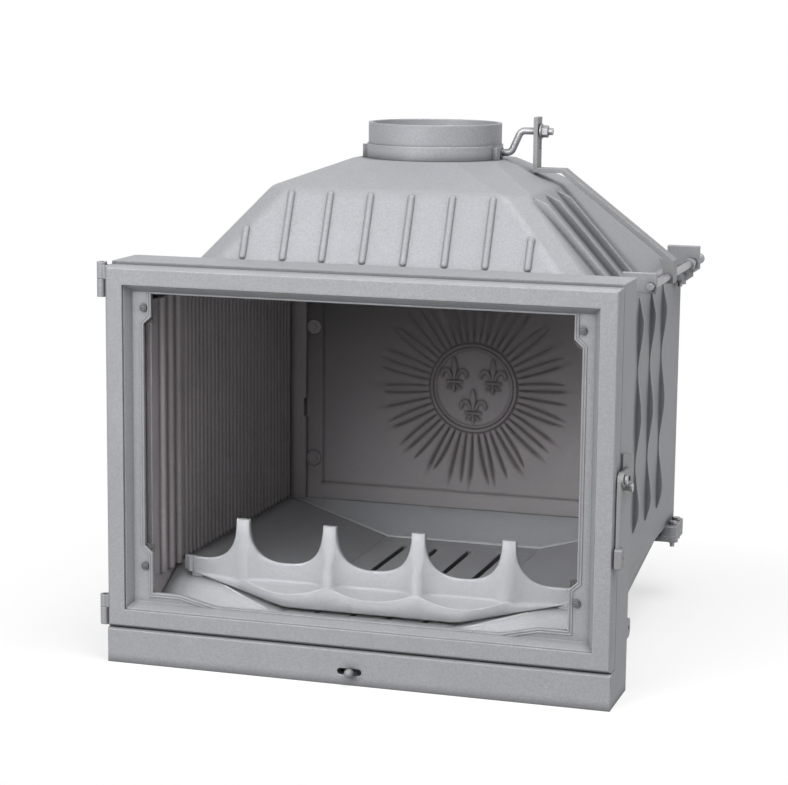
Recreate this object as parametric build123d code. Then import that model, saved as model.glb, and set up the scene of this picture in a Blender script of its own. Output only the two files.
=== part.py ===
"""Cast iron fireplace insert: deep front frame with a glazed door, fluted fire chamber,
ribbed smoke dome with a round flue collar, damper linkage, air slide, grate and log retainer.

Lengths are millimetres. Every piece is drawn with x = 0 on the centre plane, y = 0 on the
face of the door, +Y to the back and z = 0 on the floor. At the end it is moved back along Y
by Y_CENTRE, so that the origin lies under the middle of the whole insert.
"""
from build123d import *
import math
import os

# ---------------------------------------------------------------- driving dimensions
WIDTH = 700.0                 # front width, door and frame
HALF = WIDTH / 2
FRONT_Y, REAR_Y = -14.0, 636.0    # air knob's tip and back casting's ribs
Y_CENTRE = (FRONT_Y + REAR_Y) / 2
SIDE_REACH = 364.5            # outermost hinge lug and keeper's bolt, from the centre plane
GAP = 0.5                     # clearance between pieces that move past each other

# front: plinth, door, frame
PLINTH_TOP, PLINTH_T = 48.5, 6.0
DOOR_Z0, DOOR_Z1, DOOR_T = 50.0, 545.0, 24.0
BORDER_W, STEP_D = 25.0, 3.0
BEVEL_W, FLANGE_Y, FLANGE_T = 8.0, 15.0, 5.0
WINDOW_X, WINDOW_Z0, WINDOW_Z1 = 300.0, 86.0, 508.0
BOSS_X = 289.0                # window's half width between the corner bosses
FRAME_Y0, FRAME_Y1, FRAME_TOP, FRAME_T = 26.0, 105.0, 549.0, 8.0
FRAME_OPEN_X, FRAME_OPEN_Z0, FRAME_OPEN_Z1 = 320.0, 66.0, 530.0

# chamber
WALL_IN, WALL_OUT = 306.0, 312.0
LINER_IN = 298.0
CHAMBER_Y0, LINER_Y1 = 36.0, 594.0
BACK_Y0, BACK_Y1 = 608.0, 616.0
FIREBACK_Y = 598.0
FIREBACK_X = 272.0
RIM_Z, LINER_TOP, WALL_TOP = 115.0, 497.0, 505.0
BODY_Y1 = 632.0

# hearth: a shallow hopper that falls to a flat with the grate in it
FLAT_Z, FLAT_X, FLAT_Y1 = 72.0, 122.0, 553.0
PLATE_T = 8.0
GRATE_X, GRATE_Y0, GRATE_Y1 = 121.5, 75.5, 511.5
BASE_Z_FRONT, BASE_Z_REAR, BASE_T = 12.0, 105.0, 9.0
BOX_X, BOX_Y1, BOX_TOP = 165.0, 560.0, 58.0
HEARTH_X = 299.0              # half width of the hearth
CREASE_Z, CREASE_RISE = 44.75, 0.52   # its bevelled front corners, height over y
SKIRT_Z, SKIRT_X = 118.0, 291.0   # the walls slant in from here down to the base flange

# dome and flue
DOME_Z0, DOME_FLANGE, SHOULDER_Z, SEAT_Z, DOME_T = 505.0, 8.0, 643.0, 677.0, 6.0
FLUE_Y, FLUE_R, FLUE_BORE, FLUE_TOP = 367.0, 95.0, 90.0, 727.0
SHAFT_Z, SHAFT_R, CRANK_R = 687.0, 5.0, 31.0
ROD_X, ROD_Z, ROD_R = 343.0, 522.0, 5.0
RUN = 0.08                    # radial clearance of a shaft in its bearing

# log retainer
HORN_X = (-189.0, -63.0, 63.0, 189.0)
HORN_TOP, SCALLOP_Z, HORN_HALF = 191.0, 136.0, 7.0


# ---------------------------------------------------------------- helpers
def block(x0, x1, y0, y1, z0, z1):
    """A box from its lowest to its highest corner."""
    centre = Pos((x0 + x1) / 2, (y0 + y1) / 2, (z0 + z1) / 2)
    return centre * Box(abs(x1 - x0), abs(y1 - y0), abs(z1 - z0))


def rod(axis, centre, radius, length):
    """A cylinder along axis 'x', 'y' or 'z', centred on a point."""
    turn = {"x": Rot(0, 90, 0), "y": Rot(90, 0, 0), "z": Rot(0, 0, 0)}[axis]
    return Pos(*centre) * turn * Cylinder(radius, length)


def prism_y(outline, y0, y1):
    """An outline of (x, z) points, from y0 to y1."""
    face = make_face(Polyline([(x, y0, z) for x, z in outline], close=True))
    return extrude(face, amount=y1 - y0, dir=(0, 1, 0))


def prism_x(outline, x0, x1):
    """An outline of (y, z) points, from x0 to x1."""
    face = make_face(Polyline([(x0, y, z) for y, z in outline], close=True))
    return extrude(face, amount=x1 - x0, dir=(1, 0, 0))


def prism_z(outline, z0, z1):
    """An outline of (x, y) points, from z0 to z1."""
    face = make_face(Polyline([(x, y, z0) for x, y in outline], close=True))
    return extrude(face, amount=z1 - z0, dir=(0, 0, 1))


def rect_y(half_x, z0, z1, y):
    """A rectangle that faces the front, at y."""
    corners = [(-half_x, y, z0), (half_x, y, z0), (half_x, y, z1), (-half_x, y, z1)]
    return make_face(Polyline(corners, close=True))


def mirrored(outline):
    """An outline's right half as (x, v) points from bottom to top, closed over x = 0."""
    return outline + [(-x, v) for x, v in reversed(outline)]


def both(piece):
    """A piece and its mirror image over the centre plane, as one group."""
    return Compound([*piece.solids(), *mirror(piece, about=Plane.YZ).solids()])


def left_of(piece):
    """A right-hand piece's left-hand twin."""
    return mirror(piece, about=Plane.YZ)


def hex_head(axis, centre, across, height):
    """A hexagon head or nut along an axis."""
    turn = {"x": Rot(0, 90, 0), "y": Rot(90, 0, 0), "z": Rot(0, 0, 0)}[axis]
    prism = extrude(RegularPolygon(across / math.sqrt(3), 6), amount=height / 2, both=True)
    return Pos(*centre) * turn * prism


# ---------------------------------------------------------------- door
def window_outline():
    """The glazed opening: it steps in round the corner bosses."""
    right = [
        (200, WINDOW_Z0), (250, 98), (BOSS_X, 98), (BOSS_X, 153), (WINDOW_X, 163),
        (WINDOW_X, 467), (BOSS_X, 477), (BOSS_X, WINDOW_Z1),
    ]
    return mirrored(right)


BOLT_X, BOLT_LOW, BOLT_HIGH = 300.0, 135.0, 489.0     # window corner bolts
GLASS_X, GLASS_Z0, GLASS_Z1, GLASS_T = 312.0, 74.0, 520.0, 4.0
GLASS_Y = FLANGE_Y + FLANGE_T + 1.5
NOTCH_X = 292.0               # the pane's corners are cut back beside the bolts
HINGE_X, HINGE_Y, KNUCKLE_R, PIN_R = -357.5, 10.0, 7.0, 3.5
HINGES = ((50.5, 74.5, 92.0), (502.0, 526.0, 549.0))  # lug's foot, joint, knuckle's top
LATCH_Y, LATCH_Z, LATCH_R = 13.0, 302.0, 3.5
KEEPER_Y, KEEPER_Z, KEEPER_R = 40.0, 287.0, 4.5


def door_frame():
    outer = extrude(rect_y(HALF, DOOR_Z0, DOOR_Z1, 0), amount=DOOR_T, dir=(0, 1, 0))
    outer = chamfer(outer.faces().sort_by(Axis.Y)[0].edges(), 3.5)
    inset = BORDER_W
    outer -= extrude(rect_y(HALF - inset, DOOR_Z0 + inset, DOOR_Z1 - inset, -1),
                     amount=STEP_D + 1, dir=(0, 1, 0))
    inset = BORDER_W + 1.5
    wide = rect_y(HALF - inset, DOOR_Z0 + inset, DOOR_Z1 - inset, STEP_D - 0.01)
    inset += BEVEL_W
    narrow = rect_y(HALF - inset, DOOR_Z0 + inset, DOOR_Z1 - inset, FLANGE_Y)
    outer -= loft([wide, narrow], ruled=True)
    outer -= prism_y(window_outline(), -1, DOOR_T + 1)
    outer -= block(-318, 318, FLANGE_Y + FLANGE_T, DOOR_T + 1, 68, 527)
    for foot, joint, top in HINGES:
        z0 = joint + GAP
        knuckle = rod("z", (HINGE_X, HINGE_Y, (z0 + top) / 2), KNUCKLE_R, top - z0)
        knuckle += block(HINGE_X, -HALF + 2, HINGE_Y - 6, HINGE_Y + 6, z0, min(top, DOOR_Z1))
        outer += knuckle
        outer -= rod("z", (HINGE_X, HINGE_Y, joint + 20), PIN_R + RUN, 60)
    for x in (-BOLT_X, BOLT_X):
        for z in (BOLT_LOW, BOLT_HIGH):
            outer -= rod("y", (x, 18, z), 2.6, 20)
    return outer - rod("x", (HALF - 5 + 10, LATCH_Y, LATCH_Z), LATCH_R, 20)


def glass_outline():
    right = [
        (NOTCH_X, GLASS_Z0), (NOTCH_X, 160), (GLASS_X, 160),
        (GLASS_X, 470), (NOTCH_X, 470), (NOTCH_X, GLASS_Z1),
    ]
    return mirrored(right)


def door_glass():
    return prism_y(glass_outline(), GLASS_Y, GLASS_Y + GLASS_T)


def glass_gasket():
    """A flat seal between the pane and the door's flange."""
    sheet = prism_y(glass_outline(), FLANGE_Y + FLANGE_T, GLASS_Y)
    hole = [(200, 84), (251, 96), (289.5, 96), (289.5, 164), (302, 166),
            (302, 464), (289.5, 466), (289.5, 510)]
    return sheet - prism_y(mirrored(hole), FLANGE_Y, GLASS_Y + 1)


def glass_clips():
    """Four plates behind the pane, held by the corner bolts."""
    group = []
    back = GLASS_Y + GLASS_T
    for z, reach in ((BOLT_LOW, 40), (BOLT_HIGH, -34)):
        low, high = sorted((z - math.copysign(10, reach), z + reach))
        plate = block(284, 309, back, back + 2.5, low, high)
        plate += block(294, 306, FLANGE_Y + FLANGE_T, back, z - 6, z + 6)
        plate -= rod("y", (BOLT_X, 24, z), 2.6, 30)
        group.append(plate)
    return both(Compound(group))


def glass_bolts():
    group = []
    for z in (BOLT_LOW, BOLT_HIGH):
        shank = rod("y", (BOLT_X, 22, z), 2.5, 22)
        head = rod("y", (BOLT_X, FLANGE_Y - 1.5, z), 5, 3)
        nut = hex_head("y", (BOLT_X, 30, z), 8, 4)
        group.append(shank + head + nut)
    return both(Compound(group))


def door_rope():
    """Rope seal in the door's back, against the frame."""
    ring = block(-338, 338, DOOR_T, FRAME_Y0, 55, 539)
    return ring - block(-328, 328, DOOR_T - 1, FRAME_Y0 + 1, 65, 529)


def latch_lever():
    """A hanging lever beside the door: its nose hooks over the keeper's bolt."""
    x0, x1, nose_x0, nose_x1 = 351.5, 356.5, 353.6, 359.0
    lever = rod("x", ((x0 + nose_x1) / 2, LATCH_Y, LATCH_Z), 10, nose_x1 - x0)
    lever += block(x0, x1, 2, 12, 210, LATCH_Z)
    socket = block(x0 - 0.5, 360.5, -2, 17, 187, 214)
    lever += fillet(socket.edges().filter_by(Axis.X), 2.5)
    notch_z, tip_z, tip_y0, tip_y1 = LATCH_Z - 0.5, LATCH_Z - 8.5, 50, 57
    nose = [(LATCH_Y, LATCH_Z + 10), (52, LATCH_Z + 9), (tip_y1, LATCH_Z + 3), (tip_y1, tip_z),
            (tip_y0, tip_z), (tip_y0 - 2, notch_z), (31, notch_z), (28, tip_z), (LATCH_Y, tip_z)]
    lever += prism_x(nose, nose_x0, nose_x1)
    lever -= rod("x", (355, LATCH_Y, LATCH_Z), LATCH_R + RUN, 30)
    return lever - rod("x", (355, 7.5, 201), 2.2, 30)


def latch_pivot():
    """Shouldered pin in the door's edge that the lever hangs from."""
    pin = rod("x", (352.5, LATCH_Y, LATCH_Z), LATCH_R, 15)
    pin += rod("x", (HALF + 0.6, LATCH_Y, LATCH_Z), 6, 1.2)
    return pin + rod("x", (361, LATCH_Y, LATCH_Z), 6, 3)


def keeper_plate():
    """A plate on the frame's side that carries the keeper's bolt."""
    plate = prism_x([(30, 271), (92, 271), (96, 276), (96, 316), (30, 332)], HALF, HALF + 3)
    return plate - rod("x", (352, KEEPER_Y, KEEPER_Z), KEEPER_R + 0.1, 20)


def keeper_bolt():
    bolt = rod("x", (353, KEEPER_Y, KEEPER_Z), KEEPER_R, 14)
    return bolt + rod("x", (SIDE_REACH - 2.25, KEEPER_Y, KEEPER_Z), KEEPER_R + 1, 4.5)


# ---------------------------------------------------------------- front frame and plinth
SLOT_X0, SLOT_X1, SLOT_Z = -19.0, 15.0, 18.5
SLIDE_STROKE = 9.0
AIR_HOLES = (-60.0, 0.0, 60.0)


def front_frame():
    shell = block(-HALF, HALF, FRAME_Y0, FRAME_Y1, 0, FRAME_TOP)
    shell = fillet(shell.edges().filter_by(Axis.Z).sort_by(Axis.Y)[-2:], 5)
    inner = HALF - FRAME_T
    shell -= block(-inner, inner, FRAME_Y0 + FRAME_T, FRAME_Y1 - FRAME_T, FRAME_T,
                   FRAME_TOP - FRAME_T)
    shell -= block(-FRAME_OPEN_X, FRAME_OPEN_X, FRAME_Y0 - 1, FRAME_Y0 + FRAME_T + 1,
                   FRAME_OPEN_Z0, FRAME_OPEN_Z1)
    passage = [(SKIRT_X - 6, FRAME_T), (WALL_IN, SKIRT_Z - 5), (WALL_IN, WALL_TOP)]
    shell -= prism_y(mirrored(passage), FRAME_Y1 - FRAME_T - 1, FRAME_Y1 + 1)
    shell -= block(-HEARTH_X - 4, HEARTH_X + 4, CHAMBER_Y0, FRAME_Y1 + 1, BOX_TOP, RIM_Z)
    for side in (-1, 1):
        x0, x1 = sorted((side * (HALF - 9), side * HALF))
        lug = block(x0, x1, FRAME_Y1 - 4, FRAME_Y1 + 15, 70, 96)
        lug = fillet(lug.edges().filter_by(Axis.X).sort_by(Axis.Y)[-2:], 9)
        shell += lug - rod("x", (side * HALF, FRAME_Y1 + 5, 83), 3.5, 40)
    for x in AIR_HOLES:
        shell -= block(x - 12, x + 12, FRAME_Y0 - 1, FRAME_Y0 + FRAME_T + 1, 12, 24)
    shell -= block(-BOX_X, BOX_X, CHAMBER_Y0, FRAME_Y1 + 1, -1, FRAME_T + 1)
    shell -= rod("x", (HALF, KEEPER_Y, KEEPER_Z), KEEPER_R + 0.1, 8)
    for foot, joint, _ in HINGES:
        lug = rod("z", (HINGE_X, HINGE_Y, (foot + joint) / 2), KNUCKLE_R, joint - foot)
        lug += block(-SIDE_REACH, -HALF - GAP, HINGE_Y, FRAME_Y0 + 30, foot, joint)
        lug += block(-SIDE_REACH, -HALF + 1, FRAME_Y0, FRAME_Y0 + 30, foot, joint)
        lug -= rod("z", (HINGE_X, HINGE_Y, (foot + joint) / 2), PIN_R, 60)
        shell += lug
    return shell


def hinge_pins():
    group = []
    for foot, joint, top in HINGES:
        length = top - 3 - foot
        group.append(rod("z", (HINGE_X, HINGE_Y, foot + length / 2), PIN_R, length))
    return Compound(group)


def plinth_panel():
    panel = block(-HALF, HALF, 0, PLINTH_T, 0, PLINTH_TOP)
    panel = chamfer(panel.edges().filter_by(Axis.X).group_by(Axis.Z)[-1].sort_by(Axis.Y)[0], 2.5)
    for side in (-1, 1):
        x0, x1 = sorted((side * HALF, side * (HALF - 8)))
        panel += block(x0, x1, PLINTH_T, FRAME_Y0, 0, PLINTH_TOP)
    slot = Pos((SLOT_X0 + SLOT_X1) / 2, PLINTH_T / 2, SLOT_Z) * Rot(90, 0, 0) * extrude(
        SlotOverall(SLOT_X1 - SLOT_X0, 9), amount=PLINTH_T, both=True)
    return panel - slot


def air_slide():
    """A shutter over the frame's air holes, moved by the knob in the plinth's slot."""
    plate = block(-84, 84, 20, FRAME_Y0 - GAP, 8, 28)
    for x in AIR_HOLES:
        plate -= block(x - SLIDE_STROKE - 12, x - SLIDE_STROKE + 3, 19, FRAME_Y0, 12, 24)
    stem = rod("y", (0, 8, SLOT_Z), 3, 28)
    knob = Pos(0, FRONT_Y + 6.5, SLOT_Z) * Sphere(6.5)
    return plate + stem + knob


def slide_rails():
    """Two strips on the frame that carry the air slide."""
    rails = []
    for z0, z1 in ((2.0, 8.0 - GAP), (28.0 + GAP, 34.0)):
        rails.append(block(-110, 110, 20, FRAME_Y0, z0, z1))
    return Compound(rails)


# ---------------------------------------------------------------- base and hearth
def base_line(y):
    """Top of the sloping base flange at y."""
    rise = (BASE_Z_REAR - BASE_Z_FRONT) / (BODY_Y1 - FRAME_Y1)
    return BASE_Z_FRONT + rise * (y - FRAME_Y1)


def below_hearth(offset=0.0):
    """Everything under the hearth's top face, raised by offset."""
    far = 340.0
    sides = [(FLAT_X, FLAT_Z), (LINER_IN, RIM_Z), (far, RIM_Z), (far, 0)]
    shape = prism_y(mirrored([(x, z + offset) for x, z in reversed(sides)]), 0, 700)
    depth = RIM_Z - FLAT_Z
    shape += prism_x([(FLAT_Y1, 0), (700, 0), (700, RIM_Z + offset),
                      (FLAT_Y1 + depth, RIM_Z + offset), (FLAT_Y1, FLAT_Z + offset)], -far, far)
    return shape


def bevel_line(y, offset=0.0):
    """Height of the hearth's bevelled front corners at y."""
    return CREASE_Z + CREASE_RISE * y + offset


def hearth_form(offset=0.0):
    """The space under the whole hearth, with its front corners bevelled."""
    line = [(y, bevel_line(y, offset)) for y in (0.0, 200.0)]
    over = prism_x([*line, (200, 300), (0, 300)], FLAT_X, 345)
    return below_hearth(offset) - over - left_of(over)


def hearth_side():
    """The right side of the hopper: a slope with a bevelled front corner and a foot."""
    slab = hearth_form() - hearth_form(-PLATE_T)
    foot = block(BOX_X - 8, BOX_X, CHAMBER_Y0 + 8, FLAT_Y1 - 1, BOX_TOP, 90)
    slab += foot & hearth_form(-1)
    rise = RIM_Z - FLAT_Z
    plan = [(FLAT_X, CHAMBER_Y0), (HEARTH_X, CHAMBER_Y0), (HEARTH_X, FLAT_Y1 + rise),
            (LINER_IN, FLAT_Y1 + rise), (FLAT_X, FLAT_Y1)]
    return slab & prism_z(plan, BOX_TOP, 140)


def hearth_rear():
    """The steep slope behind the grate, with a flat rim along the fireback."""
    rise = RIM_Z - FLAT_Z
    top = [(FLAT_Y1, FLAT_Z), (FLAT_Y1 + rise, RIM_Z), (BACK_Y0, RIM_Z)]
    under = [(BACK_Y0, RIM_Z - PLATE_T), (FLAT_Y1 + rise + 3, RIM_Z - PLATE_T),
             (FLAT_Y1 + 3, BOX_TOP), (FLAT_Y1, BOX_TOP)]
    slope = prism_x(top + under, -HEARTH_X, HEARTH_X)
    plan = [(FLAT_X, FLAT_Y1), (LINER_IN, FLAT_Y1 + rise), (HEARTH_X, FLAT_Y1 + rise),
            (HEARTH_X, BACK_Y0)]
    return slope & prism_z(mirrored(plan), 0, 200)


def hearth_bridges():
    """Flat bars in front of the grate and behind it."""
    x = GRATE_X + GAP
    front = block(-x, x, CHAMBER_Y0, GRATE_Y0 - GAP, BOX_TOP, FLAT_Z)
    return Compound([front, block(-x, x, GRATE_Y1 + GAP, FLAT_Y1, BOX_TOP, FLAT_Z)])


def grate_bearers():
    """Two bars inside the ash box that carry the grate's long edges."""
    return both(block(116, BOX_X - 8, CHAMBER_Y0 + 8, BOX_Y1 - 8, BOX_TOP - 8, BOX_TOP))


def grate():
    bars = block(-GRATE_X, GRATE_X, GRATE_Y0, GRATE_Y1, BOX_TOP, FLAT_Z)
    for x in (-77.0, -25.5, 25.5, 77.0):
        bars -= block(x - 4.5, x + 4.5, GRATE_Y0 + 6, GRATE_Y1 - 12, BOX_TOP - 1, FLAT_Z + 1)
    return bars


def base_casting():
    """Ash box, sloping wings out to the walls, side flanges and rear lugs."""
    box = block(-BOX_X, BOX_X, CHAMBER_Y0, BOX_Y1, 0, BOX_TOP)
    box -= block(-BOX_X + 8, BOX_X - 8, CHAMBER_Y0 + 8, BOX_Y1 - 8, 8, BOX_TOP + 1)
    line = [(FRAME_Y1, base_line(FRAME_Y1)), (BODY_Y1, BASE_Z_REAR)]
    outline = line + [(y, z - BASE_T) for y, z in reversed(line)]
    wing = prism_x(outline, BOX_X - 1, SKIRT_X) & below_hearth(-PLATE_T)
    lug = block(270, 328, 560, BODY_Y1, BASE_Z_REAR - BASE_T, BASE_Z_REAR)
    wing += fillet(lug.edges().filter_by(Axis.Z).sort_by(Axis.X)[-2:], 8)
    wing -= bolt_holes(BASE_Z_REAR)
    base = box + wing + left_of(wing)
    base += block(-300, 300, BACK_Y0, BODY_Y1, BASE_Z_REAR - BASE_T, BASE_Z_REAR)
    for x in AIR_HOLES:
        base -= block(x - 12, x + 12, CHAMBER_Y0 - 1, CHAMBER_Y0 + 9, 12, 24)
    return base - hearth_side() - left_of(hearth_side()) - hearth_rear()


CORNER_BOLTS = ((320.0, 582.0), (320.0, 612.0))
LUG_TOP = 119.0
BOLT_R = 3.5


def bolt_holes(z):
    cut = [rod("z", (x, y, z), BOLT_R + 0.3, 60) for x, y in CORNER_BOLTS]
    return Compound(cut)


def ash_pan():
    pan = block(-112, 112, 96, 476, 8, 46)
    pan -= block(-109, 109, 99, 473, 11, 47)
    for y0, y1 in ((96, 110), (462, 476)):
        pan += block(-20, 20, y0, y1, 40, 44)
    return pan


# ---------------------------------------------------------------- walls
FIN_Y = (143.0, 229.0, 315.0, 401.0, 487.0)
FIN_T = 7.0
FIN_CRESTS = (463.0, 326.0, 190.0)
FIN_OUT, FIN_IN = 320.0, 313.5


def wavy_fin(y):
    """A vertical cooling fin whose outer edge waves in and out."""
    top, bottom = 496.0, 164.0
    a, b, c = FIN_CRESTS
    points = [(FIN_OUT, a), (FIN_IN, (a + b) / 2), (FIN_OUT, b),
              (FIN_IN, (b + c) / 2), (FIN_OUT, c), (FIN_IN, bottom)]
    edge = Spline([(x, y - FIN_T / 2, z) for x, z in points],
                  tangents=[(0, 0, -1), (-0.3, 0, -1)])
    rest = Polyline([(FIN_IN, y - FIN_T / 2, bottom), (WALL_OUT - 1, y - FIN_T / 2, bottom),
                     (WALL_OUT - 1, y - FIN_T / 2, top), (WALL_OUT + 1, y - FIN_T / 2, top),
                     (FIN_OUT, y - FIN_T / 2, a)])
    return extrude(make_face(edge + rest), amount=FIN_T, dir=(0, 1, 0))


def skirt_section(y):
    """The slanting foot of the right wall, cut across at y."""
    foot = base_line(y)
    corners = [(WALL_IN, SKIRT_Z), (WALL_OUT, SKIRT_Z), (SKIRT_X, foot), (SKIRT_X - 6, foot)]
    return make_face(Polyline([(x, y, z) for x, z in corners], close=True))


def side_casting():
    wall = block(WALL_IN, WALL_OUT, FRAME_Y1, BODY_Y1, SKIRT_Z - 0.01, WALL_TOP)
    wall += loft([skirt_section(FRAME_Y1), skirt_section(BODY_Y1)], ruled=True)
    for y in FIN_Y:
        wall += wavy_fin(y)
    wall -= block(SKIRT_X - 20, 330, 560, BODY_Y1 + 1, 0, BASE_Z_REAR)
    for z0, z1, reach in ((BASE_Z_REAR, LUG_TOP, 328), (493, WALL_TOP, 332)):
        lug = block(WALL_IN, reach, 560, BODY_Y1, z0, z1)
        lug = fillet(lug.edges().filter_by(Axis.Z).sort_by(Axis.X)[-2:], 8)
        wall += lug - bolt_holes((z0 + z1) / 2)
    wall -= block(SKIRT_X - 20, WALL_IN, BACK_Y0, BODY_Y1 + 1, 0, 200)
    return wall - side_liner() - corner_strip() - hearth_side() - hearth_rear()


def back_casting():
    wall = block(-WALL_IN, WALL_IN, BACK_Y0, BACK_Y1, BASE_Z_REAR, WALL_TOP)
    for z in (BASE_Z_REAR, WALL_TOP - 8):
        wall += block(-WALL_IN, WALL_IN, BACK_Y1, BODY_Y1, z, z + 8)
    for x in (-225, -150, -75, 0, 75, 150, 225):
        wall += block(x - 3.5, x + 3.5, BACK_Y1, REAR_Y, BASE_Z_REAR + 20, WALL_TOP - 20)
    return wall


def tie_bolts():
    """Vertical bolts with nuts through the rear corner lugs, two at each corner."""
    group = []
    for z0, z1 in ((BASE_Z_REAR - BASE_T, LUG_TOP), (493.0, DOME_Z0 + DOME_FLANGE)):
        for x, y in CORNER_BOLTS:
            bolt = rod("z", (x, y, (z0 + z1) / 2 - 3), BOLT_R, z1 - z0 + 16)
            bolt += hex_head("z", (x, y, z1 + 2.5), 11, 5)
            bolt += hex_head("z", (x, y, z0 - 2.5), 11, 5)
            group.append(bolt)
    return both(Compound(group))


BIG_RIBS = (69.0, 97.0, 125.0)
FLUTE_Y0, FLUTE_PITCH, FLUTES, FLUTE_R = 156.0, 14.5, 30, 5.0


def side_liner():
    """Cast liner with three round ribs at the front and fine flutes behind them."""
    sketch = make_face(Polyline([(LINER_IN, CHAMBER_Y0), (WALL_IN, CHAMBER_Y0),
                                 (WALL_IN, LINER_Y1), (LINER_IN, LINER_Y1)], close=True))
    for y in BIG_RIBS:
        sketch += Pos(LINER_IN + 1, y) * Circle(7)
    for i in range(FLUTES):
        sketch += Pos(LINER_IN + 2.5, FLUTE_Y0 + FLUTE_PITCH * i) * Circle(FLUTE_R)
    keep = make_face(Polyline([(LINER_IN - 12, CHAMBER_Y0), (WALL_IN, CHAMBER_Y0),
                               (WALL_IN, LINER_Y1), (LINER_IN - 12, LINER_Y1)], close=True))
    liner = Pos(0, 0, RIM_Z) * extrude(sketch & keep, amount=LINER_TOP - RIM_Z)
    end = (RIM_Z - CREASE_Z) / CREASE_RISE
    cheek = [(CHAMBER_Y0, bevel_line(CHAMBER_Y0)), (end, RIM_Z), (CHAMBER_Y0, RIM_Z)]
    return liner + prism_x(cheek, HEARTH_X, HEARTH_X + 4)


def corner_strip():
    """Angle strip that closes the corner between liner and fireback."""
    strip = block(FIREBACK_X + GAP, LINER_IN - 6, 590, BACK_Y0, RIM_Z, LINER_TOP)
    strip += block(FIREBACK_X + GAP, WALL_IN, LINER_Y1 + GAP, BACK_Y0, RIM_Z, LINER_TOP)
    notch = block(FIREBACK_X, FIREBACK_X + 4, 580, BACK_Y0 + 1, 246, 276)
    return strip - notch


SUN_Z, ROUNDEL_R, RAYS = 307.0, 70.0, 48
RAY_LENGTHS = (79.0, 65.0, 74.0, 57.0, 81.0, 61.0)


def fireback():
    """Back plate with a raised border, a ringed roundel and sun rays."""
    plate = block(-FIREBACK_X, FIREBACK_X, FIREBACK_Y, BACK_Y0, RIM_Z, LINER_TOP)
    border = block(-FIREBACK_X, FIREBACK_X, FIREBACK_Y - 4, FIREBACK_Y, RIM_Z, LINER_TOP)
    border -= block(-246, 246, FIREBACK_Y - 5, FIREBACK_Y + 1, RIM_Z + 26, LINER_TOP - 26)
    plate += border
    centre = (0, FIREBACK_Y, SUN_Z)
    roundel = rod("y", centre, ROUNDEL_R, 8)
    roundel -= rod("y", (0, FIREBACK_Y - 4, SUN_Z), ROUNDEL_R - 4, 4)
    roundel += rod("y", centre, ROUNDEL_R - 8, 7) - rod("y", centre, ROUNDEL_R - 10, 9)
    plate += roundel
    for i in range(RAYS):
        angle = math.radians(360 * i / RAYS)
        inner, outer = ROUNDEL_R + 4, ROUNDEL_R + RAY_LENGTHS[i % len(RAY_LENGTHS)]
        across = math.radians(2.0)
        points = [(inner, angle - across), (outer, angle), (inner, angle + across)]
        outline = [(r * math.sin(a), SUN_Z + r * math.cos(a)) for r, a in points]
        plate += prism_y(outline, FIREBACK_Y - 3, FIREBACK_Y)
    return plate


def fireback_clips():
    """Washers and screws that hold the fireback's edges."""
    group = []
    for z in (180.0, 390.0):
        clip = rod("y", (260, FIREBACK_Y - 5, z), 11, 2)
        clip += hex_head("y", (260, FIREBACK_Y - 8, z), 10, 5)
        group.append(clip)
    return both(Compound(group))


def baffle_plate():
    """Smoke deflector that lies on the liners and the fireback."""
    plate = block(-WALL_IN + 1, WALL_IN - 1, 222, BACK_Y0 - 1, LINER_TOP, WALL_TOP - GAP)
    return plate - block(-60, 60, 215, 262, LINER_TOP - 1, WALL_TOP + 1)


# ---------------------------------------------------------------- dome, collar, damper
def dome_section(half, corner, y0, y1, z):
    """An eight-sided section: half width at the flank, corner cut, front and rear."""
    right = [(half - corner, y0), (half, y0 + corner), (half, y1 - corner), (half - corner, y1)]
    return make_face(Polyline([(x, y, z) for x, y in mirrored(right)], close=True))


DOME_BASE = (301.0, 31.0, 106.0, 632.0)          # half width, corner cut, front, rear
DOME_SHOULDER = (185.0, 32.0, 162.0, 490.0)
DOME_SEAT = (104.0, 44.0, 263.0, 471.0)
RIB_X = (28.7, 86.0, 142.0)
DOME_SOFT = 24.0              # radius of the dome's rounded edges
DOME_FIN_Y = (192.0, 258.0, 325.0)


def dome_solid(inset, z_shift):
    """The dome's outer form, or its hollow when it is drawn in by inset."""
    sections = []
    heights = (DOME_Z0 + DOME_FLANGE, SHOULDER_Z, SEAT_Z)
    for (half, corner, y0, y1), z in zip((DOME_BASE, DOME_SHOULDER, DOME_SEAT), heights):
        sections.append(dome_section(half - inset, corner, y0 + inset, y1 - inset, z - z_shift))
    lower = loft([sections[0], sections[1]], ruled=True)
    return lower + loft([sections[1], sections[2]], ruled=True)


def dome_rib(x, top):
    """An upright rib with a rounded edge on the dome's front slope."""
    lean = (DOME_SHOULDER[2] - DOME_BASE[2]) / (SHOULDER_Z - DOME_Z0 - DOME_FLANGE)
    low = 551.0
    ends = [(DOME_BASE[2] + lean * (z - DOME_Z0 - DOME_FLANGE) + 1, z) for z in (low, top)]
    (y0, z0), (y1, z1) = ends
    line = Line((x, y0, z0), (x, y1, z1))
    rib = sweep(Plane(origin=line @ 0, z_dir=line % 0) * Circle(5), path=line)
    rib += prism_x([(y0, z0), (y1, z1), (y1 + 20, z1 - 8), (y0 + 20, z0 - 8)], x - 5, x + 5)
    return rib + Pos(x, y0, z0) * Sphere(5) + Pos(x, y1, z1) * Sphere(5)


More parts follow.
